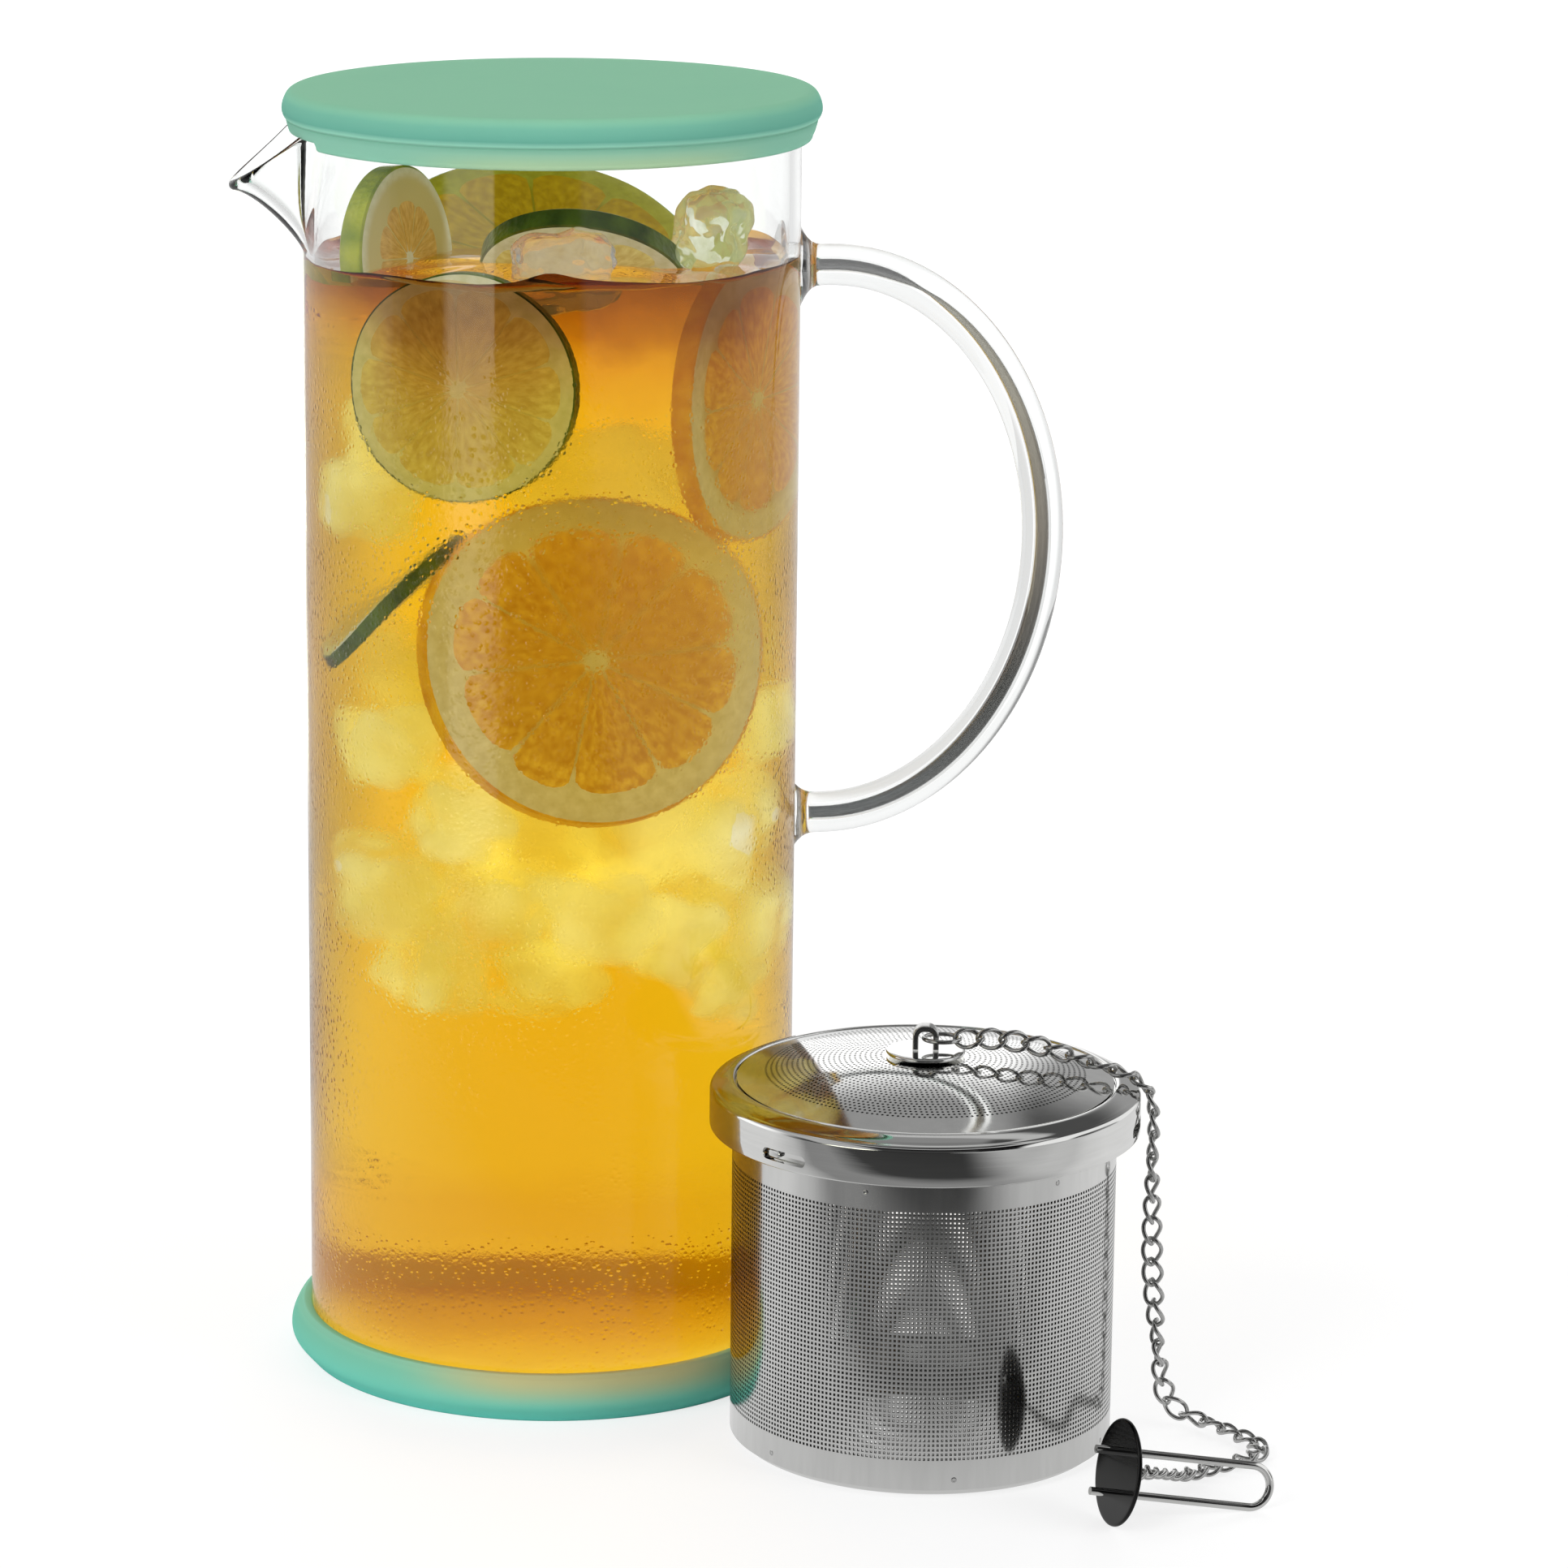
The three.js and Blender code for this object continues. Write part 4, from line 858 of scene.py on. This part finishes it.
sleeve = BASKET_R - SHEET - SEAT_GAP
pan = [(0, 0), (sleeve - PAN_CORNER - 1.5, 0), *arc(sleeve - PAN_CORNER, PAN_CORNER, PAN_CORNER, -90, 0),
       *arc(sleeve - SHEET / 2, PAN_HEIGHT - SHEET / 2, SHEET / 2, 0, 180, 6),
       *arc(sleeve - PAN_CORNER, PAN_CORNER, PAN_CORNER - SHEET, 0, -90), (0, SHEET)]
solid("basket_pan", *lathe(pan, 144, STAND), MIRROR, "infuser_basket", "basket_floor", "polished_steel")

bore = LID_R - RING_WALL
collar_r, ring_seat = bore - SEAT_GAP, LID_SHOULDER - 0.6 * RING_WALL
collar_foot, collar_top, shelf = BASKET_TOP - 4.8, ring_seat - SEAT_GAP, BASKET_TOP + SEAT_GAP
collar = lathe([(sleeve - SHEET, collar_foot), (sleeve, collar_foot), (sleeve, shelf),
                *arc(collar_r - 0.6, shelf + 0.6, 0.6, -90, 0, 5), (collar_r, collar_top),
                (collar_r - SHEET, collar_top), (collar_r - SHEET, shelf + 0.9), (sleeve - SHEET, shelf + SHEET),
                (sleeve - SHEET, collar_foot)], 144, STAND)
lug_turn = (LUG_WIDTH / 2 + 2 * SEAT_GAP) / LID_R
lug_section = [((1 if cos(a) > 0 else -1) * (LUG_WIDTH - LUG_HEIGHT) / 2 + LUG_HEIGHT / 2 * cos(a),
                LUG_HEIGHT / 2 * sin(a)) for a in (TAU * (k + 0.5) / 24 for k in range(24))]
lug = sweep([(collar_r + d, 0, 0) for d in (-0.3, LUG_REACH - 0.2, LUG_REACH)], lug_section, (0, 1, 0),
            scales=[1, 1, 0.8])
lugs = [carried(lug, Matrix.Translation((*STAND, SLOT_Z))
                @ Matrix.Rotation(radians(SLOT_BEARING + 120 * i) + lug_turn, 4, "Z")) for i in range(3)]
solid("basket_collar_band", *joined(collar, *lugs), MIRROR, "infuser_basket", "basket_collar", "polished_steel")

# Spot welds on the wall's plain bands
dots = []
for first, z in ((-118.3, 59.7), (-150.9, 3.7)):
    for i in range(6):
        turn = radians(first + 60 * i)
        out = Vector((cos(turn), sin(turn), 0))
        seat = Matrix.Translation(Vector((*STAND, z)) + out * (BASKET_R - 0.04)) \
            @ out.to_track_quat("Z", "Y").to_matrix().to_4x4()
        dots.append(carried(lathe([(0.62, 0), (0.5, 0.08), (0.3, 0.1), (0.12, 0.03), (0, 0.02)], 20), seat))
solid("basket_weld_dots", *joined(*dots), CHAIN, "infuser_basket", slot="polished_steel")


# Infuser lid: a mirror ring with three slots and a perforated dome
def ring_wall(radius, low, high, outward, steps=360):
    """An upright band that leaves the bayonet slots open, and the turn and half opening of each of its columns."""
    verts, faces, columns = [], [], []
    end, half = SLOT_HEIGHT / 2, SLOT_LENGTH / 2
    middles = [radians(SLOT_BEARING + 120 * i) + half / LID_R for i in range(3)]
    marks = sorted({round(cos(pi * k / 12) * end, 5) for k in range(13)})
    local = sorted({-half + end - abs(m) for m in marks if m <= 0} | {half - end + m for m in marks if m >= 0}
                   | {lerp(-half + end, half - end, k / 8) for k in range(9)})
    for middle in middles:
        for x in local:
            rise = end if abs(x) <= half - end else sqrt(max(0, end ** 2 - (abs(x) - half + end) ** 2))
            columns.append(((middle + x / LID_R) % TAU, rise))
    room = (half + 0.01) / LID_R
    gaps = [((middle - room) % TAU, (middle + room) % TAU) for middle in middles]
    for i in range(steps):
        t = TAU * i / steps
        if not any((t - a) % TAU < (b - a) % TAU for a, b in gaps):
            columns.append((t, 0.0))
    columns.sort(key=lambda c: c[0])
    n = len(columns)
    for t, rise in columns:
        for z in (low, SLOT_Z - rise, SLOT_Z + rise, high):
            verts.append(stand_point(radius, t, z))
    for i in range(n):
        j = (i + 1) % n
        for k in (0, 2):
            face = (4 * i + k, 4 * j + k, 4 * j + k + 1, 4 * i + k + 1)
            faces.append(face if outward else face[::-1])
    return verts, faces, columns


def ring_piece():
    low, high = LID_FOOT + 0.4, LID_SHOULDER - RING_CORNER
    outer, outer_faces, columns = ring_wall(LID_R, low, high, True)
    inner, inner_faces, _ = ring_wall(bore, low, ring_seat, False)
    n = len(outer)
    verts = outer + inner
    faces = outer_faces + [tuple(i + n for i in f) for f in inner_faces]
    count = len(columns)
    for i in range(count):
        j = (i + 1) % count
        if columns[i][1] + columns[j][1] > 0:
            faces += [(4 * i + 1, 4 * j + 1, 4 * j + 1 + n, 4 * i + 1 + n),
                      (4 * j + 2, 4 * i + 2, 4 * i + 2 + n, 4 * j + 2 + n)]

    def band(profile, first, last):
        """Closes the ring between two rows of points that exist already."""
        rows = [first]
        for r, z in profile:
            rows.append(range(len(verts), len(verts) + count))
            verts.extend(stand_point(r, t, z) for t, _ in columns)
        rows.append(last)
        for a, b in zip(rows, rows[1:]):
            faces.extend((a[i], a[(i + 1) % count], b[(i + 1) % count], b[i]) for i in range(count))

    top = [*arc(LID_R - RING_CORNER, high, RING_CORNER, 8, 78, 8),
           *flowing([(LID_R - 1.0, LID_SHOULDER - 0.04), (39.3, 71.05), (37.8, 71.72),
                     (SEAM_R + RING_LIP, SEAM_Z)], 5)[1:],
           *arc(SEAM_R + RING_LIP, SEAM_Z - RING_LIP, RING_LIP, 90, 180, 6)[1:]]
    recess_z, recess_r = SEAM_Z - 2 * RING_LIP, SEAM_R + DOME_RIM + SEAT_GAP
    top += [(SEAM_R, recess_z), (recess_r, recess_z), (recess_r, ring_seat)]
    band(top, [4 * i + 3 for i in range(count)], [n + 4 * i + 3 for i in range(count)])
    foot = arc((LID_R + bore) / 2, low, (LID_R - bore) / 2, 180, 360, 10)[1:-1]
    foot = [(r, low - (low - z) * 0.66) for r, z in foot]
    band(foot, [n + 4 * i for i in range(count)], [4 * i for i in range(count)])
    return verts, faces


solid("lid_ring_shell", *ring_piece(), MIRROR, "infuser_lid", "lid_ring", "polished_steel", sharp=40)

dome_edge, dome_edge_z = SEAM_R - SEAT_GAP, SEAM_Z - 0.3 * RING_LIP


def dome_z(r):
    return lerp(DOME_TOP, dome_edge_z, (r / dome_edge) ** 2)


def dome():
    """The dome's sheet with rings of round holes, and its faces' materials. The middle and the edge are plain."""
    first, pitch, count, hole = 8.0, 1.0, 23, 0.27
    walls = set()
    verts, faces = [], []

    def place(r, t, layer):
        return stand_point(r, t, dome_z(r) - layer * SHEET)

    def plain(r0, r1, steps, rows):
        for layer in (0, 1):
            start = len(verts)
            for i in range(rows + 1):
                r = lerp(r0, r1, i / rows)
                if r < 1e-6:
                    r = 1e-4
                verts.extend(place(r, TAU * k / steps, layer) for k in range(steps))
            made = grid_faces(rows + 1, steps, closed_columns=True, start=start)
            faces.extend([f[::-1] for f in made] if layer == 0 else made)

    plain(0, first, 96, 8)
    for ring in range(count):
        middle = first + pitch * (ring + 0.5)
        cells = round(TAU * middle / pitch)
        for c in range(cells):
            t = TAU * (c + 0.5 * (ring % 2)) / cells
            w, h = pi / cells, pitch / 2
            start = len(verts)
            for layer in (0, 1):
                for dx, dy in ((-1, -1), (0, -1), (1, -1), (1, 0), (1, 1), (0, 1), (-1, 1), (-1, 0)):
                    verts.append(place(middle + dy * h, t + dx * w, layer))
                for k in range(8):
                    a = pi * (k / 4 - 0.75)
                    verts.append(place(middle + hole * sin(a), t + hole * cos(a) / middle, layer))
            for k in range(8):
                j = (k + 1) % 8
                faces.append((start + j, start + k, start + 8 + k, start + 8 + j)[::-1])
                faces.append((start + 16 + k, start + 16 + j, start + 24 + j, start + 24 + k)[::-1])
                # the hole walls take the dark steel of painted shade
                walls.add(len(faces))
                faces.append((start + 8 + k, start + 8 + j, start + 24 + j, start + 24 + k))
    plain(first + pitch * count, dome_edge, 288, 8)
    rim_top = SEAM_Z - 2 * RING_LIP - SEAT_GAP
    rim = [(dome_edge, dome_edge_z), (dome_edge, rim_top), (dome_edge + DOME_RIM, rim_top),
           (dome_edge + DOME_RIM, rim_top - SHEET), (dome_edge - SHEET, rim_top - SHEET),
           (dome_edge - SHEET, dome_edge_z - SHEET)]
    verts, faces = joined((verts, faces), lathe(rim, 288, STAND))
    return verts, faces, [int(i in walls) for i in range(len(faces))]


verts, faces, slots = dome()
solid("lid_dome_mesh", verts, faces, [DOME_STEEL, HOLE_SHADE], "infuser_lid", "lid_dome", "polished_steel", sharp=40,
      face_slots=slots)

# Bracket: a round plate and a bent strap
plate_z = DOME_TOP + SEAT_GAP
top_z = plate_z + PLATE_THICK
plate = lathe([(0, plate_z), (PLATE_R - 0.2, plate_z), *arc(PLATE_R - 0.3, plate_z + 0.35, 0.3, -60, 80, 8),
               (PLATE_R - 1.2, top_z), (0, top_z)], 96, STAND)
solid("bracket_disc", *plate, MIRROR, "infuser_lid", "bracket_plate", "polished_steel")
foot_z = top_z + SEAT_GAP
half, bend = BRACKET_SPAN / 2 - BRACKET_STRAP / 2, 1.5 * BRACKET_STRAP
crown = foot_z + BRACKET_HEIGHT - BRACKET_STRAP / 2
corner_z, quarter = crown - bend, [pi / 2 * i / 10 for i in range(11)]
staple = [(-half, 0, foot_z), (-half, 0, lerp(foot_z, corner_z, 0.5)),
          *[(-half + bend - bend * cos(a), 0, corner_z + bend * sin(a)) for a in quarter],
          *[(half - bend + bend * sin(a), 0, corner_z + bend * cos(a)) for a in quarter],
          (half, 0, lerp(foot_z, corner_z, 0.5)), (half, 0, foot_z)]
w, t, e = BRACKET_WIDTH / 2, BRACKET_STRAP / 2, 0.22
strap_section = [(sx * (w - e) + e * cos(a), sy * (t - e) + e * sin(a))
                 for sx, sy, q in ((1, 1, 0), (-1, 1, 1), (-1, -1, 2), (1, -1, 3))
                 for a in (pi / 2 * (q + i / 4) for i in range(5))]
on_bearing = Matrix.Translation((*STAND, 0)) @ Matrix.Rotation(radians(CHAIN_BEARING), 4, "Z")
solid("bracket_strap", *carried(sweep(staple, strap_section, (0, 1, 0)), on_bearing), CHAIN, "infuser_lid",
      "chain_bracket", "chain_steel")


# Chain: each link takes its place, its length and its turn from its own solid
def own_axes(node):
    """A solid's centre, its axes from the longest to the shortest, and its size along them."""
    points = np.array([v.co for v in frame["nodes"][node].data.vertices], float) / MM
    _, axes = np.linalg.eigh(np.cov((points - points.mean(0)).T))
    axes = axes[:, ::-1].T
    spans = [((points @ a).min(), (points @ a).max()) for a in axes]
    centre = sum(a * (low + high) / 2 for a, (low, high) in zip(axes, spans))
    if np.dot(np.cross(axes[0], axes[1]), axes[2]) < 0:
        axes[2] = -axes[2]
    return Vector(centre), [Vector(a) for a in axes], [float(high - low) for low, high in spans]


def oval(node, body, name, twist, width=None, sides=14, steps=56):
    """A link: an oval of wire, each end turned by the twist in degrees."""
    centre, (x, y, z), spans = own_axes(node)
    half_length, half_width = (spans[0] - CHAIN_WIRE) / 2, ((width or spans[1]) - CHAIN_WIRE) / 2
    path = []
    for i in range(steps):
        a = TAU * i / steps
        across, turn = half_width * sin(a), -radians(twist) * cos(a)
        path.append(centre + x * half_length * cos(a) + across * (y * cos(turn) + z * sin(turn)))
    solid(name, *sweep(path, round_section(CHAIN_WIRE / 2, sides), z, closed=True), CHAIN, body, node, "chain_steel",
          sharp=60)


# Two links at a hinge are twisted less, to stay clear of each other, and one link is narrower, to stay in the outline
LINK_WIDTH, NARROW_WIDTH, LINK_TWISTS = 4.4, 4.25, {"chain_link_25": 30, "chain_link_26": 40}
bodies = frame["record"]["behaviour"]["bodies"]
for body in ("chain_upper", "chain_drop", "chain_lower"):
    for node in bodies[body]:
        if node.startswith("chain_link"):
            oval(node, body, node.replace("chain_link", "link_wire"), LINK_TWISTS.get(node, LINK_TWIST),
                 NARROW_WIDTH if node == "chain_link_30" else LINK_WIDTH)
oval("chain_ring", "chain_upper", "ring_wire", 0.0)

# Clip: a disc on a hairpin of wire, with an eyelet
centre, (out, up, side), _ = own_axes("clip_wire")
out = out if out.x > 0 else -out
up = up if up.z > 0 else -up
disc_centre = own_axes("clip_disc")[0]
clip = Matrix((out, up, out.cross(up))).transposed().to_4x4()
clip.translation = disc_centre
turned = Matrix.Rotation(pi / 2, 4, "Y")
foot = DISC_THICK / 2
face = lathe([(0, -foot), (DISC_R - 0.9, -foot), *arc(DISC_R - foot, 0, foot, -90, 90, 10), (DISC_R - 0.9, foot),
              (0, foot)], 128)
solid("clip_face", *carried(face, clip @ turned), DARK, "clip", "clip_disc", "chain_steel", sharp=50)
half = CLIP_SPAN / 2
leg = (-CLIP_TAIL, 0, CLIP_LENGTH / 2, CLIP_LENGTH - 2)
hairpin = [*[(d, -half, 0) for d in leg],
           *[(CLIP_LENGTH + half * cos(a), half * sin(a), 0) for a in (pi * (i / 28 - 0.5) for i in range(29))],
           *[(d, half, 0) for d in leg[::-1]]]
solid("clip_hairpin", *carried(sweep(hairpin, round_section(0.49 * CLIP_WIRE, 20), (0, 0, 1)), clip), MIRROR, "clip",
      "clip_wire", "polished_steel")
middle = foot + EYELET_REACH - CHAIN_WIRE / 2 - EYELET_R
loop = [(foot, 0, -EYELET_R),
        *[(middle + EYELET_R * cos(a), 0, EYELET_R * sin(a)) for a in (pi * (i / 18 - 0.5) for i in range(19))],
        (foot, 0, EYELET_R)]
solid("clip_loop", *carried(sweep(loop, round_section(CHAIN_WIRE / 2, 14), (0, 1, 0)), clip), CHAIN, "clip",
      "clip_eyelet", "chain_steel")


# Floor, light and camera
def floor_material():
    """White paper that keeps soft shadows near the object. In mirrors it darkens towards the front of the studio."""
    m = Nodes("floor_white")
    x, y, _ = m.axes()
    path = m.add("LightPath").outputs
    away = m.reach(m.minus(x, 0.03), y)
    far = m.ease(away, 0.2, 0.65, 0.63, 1.0)
    through, direct = path["Is Transmission Ray"], m.minus(1.0, path["Is Transmission Ray"])
    seen = m.math("MAXIMUM", path["Is Camera Ray"], through)
    reflected = m.times(path["Is Glossy Ray"], direct)
    front = m.ramp(m.between(y, -0.50, 0.0), (0.0, grey(0.03)), (0.44, grey(0.05)), (0.56, grey(0.27)),
                   (0.68, grey(0.26)), (0.76, grey(0.55)), (0.9, grey(0.75)))
    mirrored = m.mix(m.times(m.ease(x, 0.10, 0.24), 0.6), front, grey(0.8))
    # a tall window at the front left, seen in the jug only
    turn = m.math("DIVIDE", x, m.math("MINIMUM", m.plus(y, 0.04), -0.05))
    window = m.times(m.ease(turn, 0.66, 0.70), m.ease(turn, 1.75, 1.4))
    window = m.times(window, m.ease(away, 0.42, 0.62))
    mirrored = m.mix(window, mirrored, (2.3, 2.3, 1.9, 1))
    # through the tea and the glass the floor is dimmer to the sides and beyond the jug's left
    beyond = m.math("MAXIMUM", m.plus(y, 0.05), 0.02)
    aside = m.math("DIVIDE", m.math("ABSOLUTE", m.minus(x, m.times(y, 0.126))), beyond)
    left = m.times(m.ease(x, -0.06, -0.14), m.ease(y, 0.16, 0.08))
    dim = m.times(m.ease(aside, 0.25, 0.62, 1.15, 0.78), m.between(left, 0.0, 1.0, 1.0, 0.4))
    dim = m.plus(m.times(dim, through), m.times(direct, 1.15))
    glow = m.mix(reflected, m.add("CombineXYZ", dim, dim, dim), mirrored)
    share = m.math("MAXIMUM", m.times(seen, far), reflected)
    paper = m.add("BsdfDiffuse", grey(0.9))
    return m.done(m.blend(share, paper, m.add("Emission", glow, 1.0)))


half = 6000
floor = added("floor", mesh_of("floor", [(-half, -half, 0), (half, -half, 0), (half, half, 0), (-half, half, 0)],
                               [range(4)]))
floor.data.materials.append(floor_material())

sky = Nodes("studio", world=True)
x, y, z = sky.axes()
path = sky.add("LightPath").outputs
# white behind the object and a darker room at the camera, with soft panels at both sides and overhead
back_wall = sky.times(sky.ease(z, 0.34, 0.62, 1.25, 0.28), sky.ease(x, 0.25, 0.31, 1.0, 0.28))
room = sky.times(sky.ease(y, -0.25, 0.3, 0.04, 1.0), back_wall)
panel_left = sky.times(sky.ease(x, -0.5, -0.66), sky.ease(x, -0.97, -0.9))
panel_right = sky.times(sky.ease(x, 0.6, 0.7), sky.ease(x, 0.97, 0.92))
overhead = sky.times(sky.ease(z, 0.78, 0.84), sky.ease(z, 0.92, 0.88))
panels = sky.math("MAXIMUM", sky.times(panel_left, 0.5), sky.math("MAXIMUM", panel_right, sky.times(overhead, 0.6)))
mirrored = sky.math("MAXIMUM", room, sky.times(panels, 0.95))
through = sky.times(sky.ease(y, -0.1, 0.35, 0.12, 1.0), sky.ease(x, -0.3, -0.62, 1.0, 0.22))
whole = sky.mix(path["Is Glossy Ray"], 0.42, mirrored, "FLOAT")
whole = sky.mix(path["Is Transmission Ray"], whole, through, "FLOAT")
whole = sky.mix(path["Is Camera Ray"], whole, 1.0, "FLOAT")
sky.add("OutputWorld", sky.add("Background", WHITE, whole))
bpy.context.scene.world = sky.owner


def lamp(name, place, aim, size, power):
    """A panel of light that is never seen itself."""
    data = bpy.data.lights.new(name, "AREA")
    data.shape, data.size, data.size_y, data.energy = "RECTANGLE", size[0], size[1], power
    o = added(name, data)
    o.location = place
    o.rotation_euler = (Vector(aim) - Vector(place)).to_track_quat("-Z", "Y").to_euler()
    o.visible_camera = o.visible_glossy = o.visible_transmission = False


lamp("key", (-1.1, -1.0, 0.75), (0.03, 0, 0.1), (0.9, 0.9), 14.0)
lamp("back", (0.2, 1.3, 0.45), (0.03, 0, 0.12), (1.4, 0.7), 16.0)
lamp("fill", (1.1, -0.8, 0.6), (0.03, 0, 0.1), (0.8, 0.8), 7.0)

# The photograph's camera, found from the ellipses in it
camera = added("camera", bpy.data.cameras.new("camera"))
camera.location = (-0.14677, -1.11486, 0.38771)
camera.rotation_euler = (radians(90 - 13.573), 0, radians(-7.1856))
camera.data.lens, camera.data.sensor_width, camera.data.shift_x = 133.31, 36.0, 0.1682
camera.data.clip_start = 0.05
scene = bpy.context.scene
scene.camera = camera
scene.view_settings.view_transform = "Standard"
scene.cycles.max_bounces = 24
scene.cycles.transmission_bounces = 20
scene.cycles.transparent_max_bounces = 24
scene.cycles.glossy_bounces = 8
scene.cycles.diffuse_bounces = 4
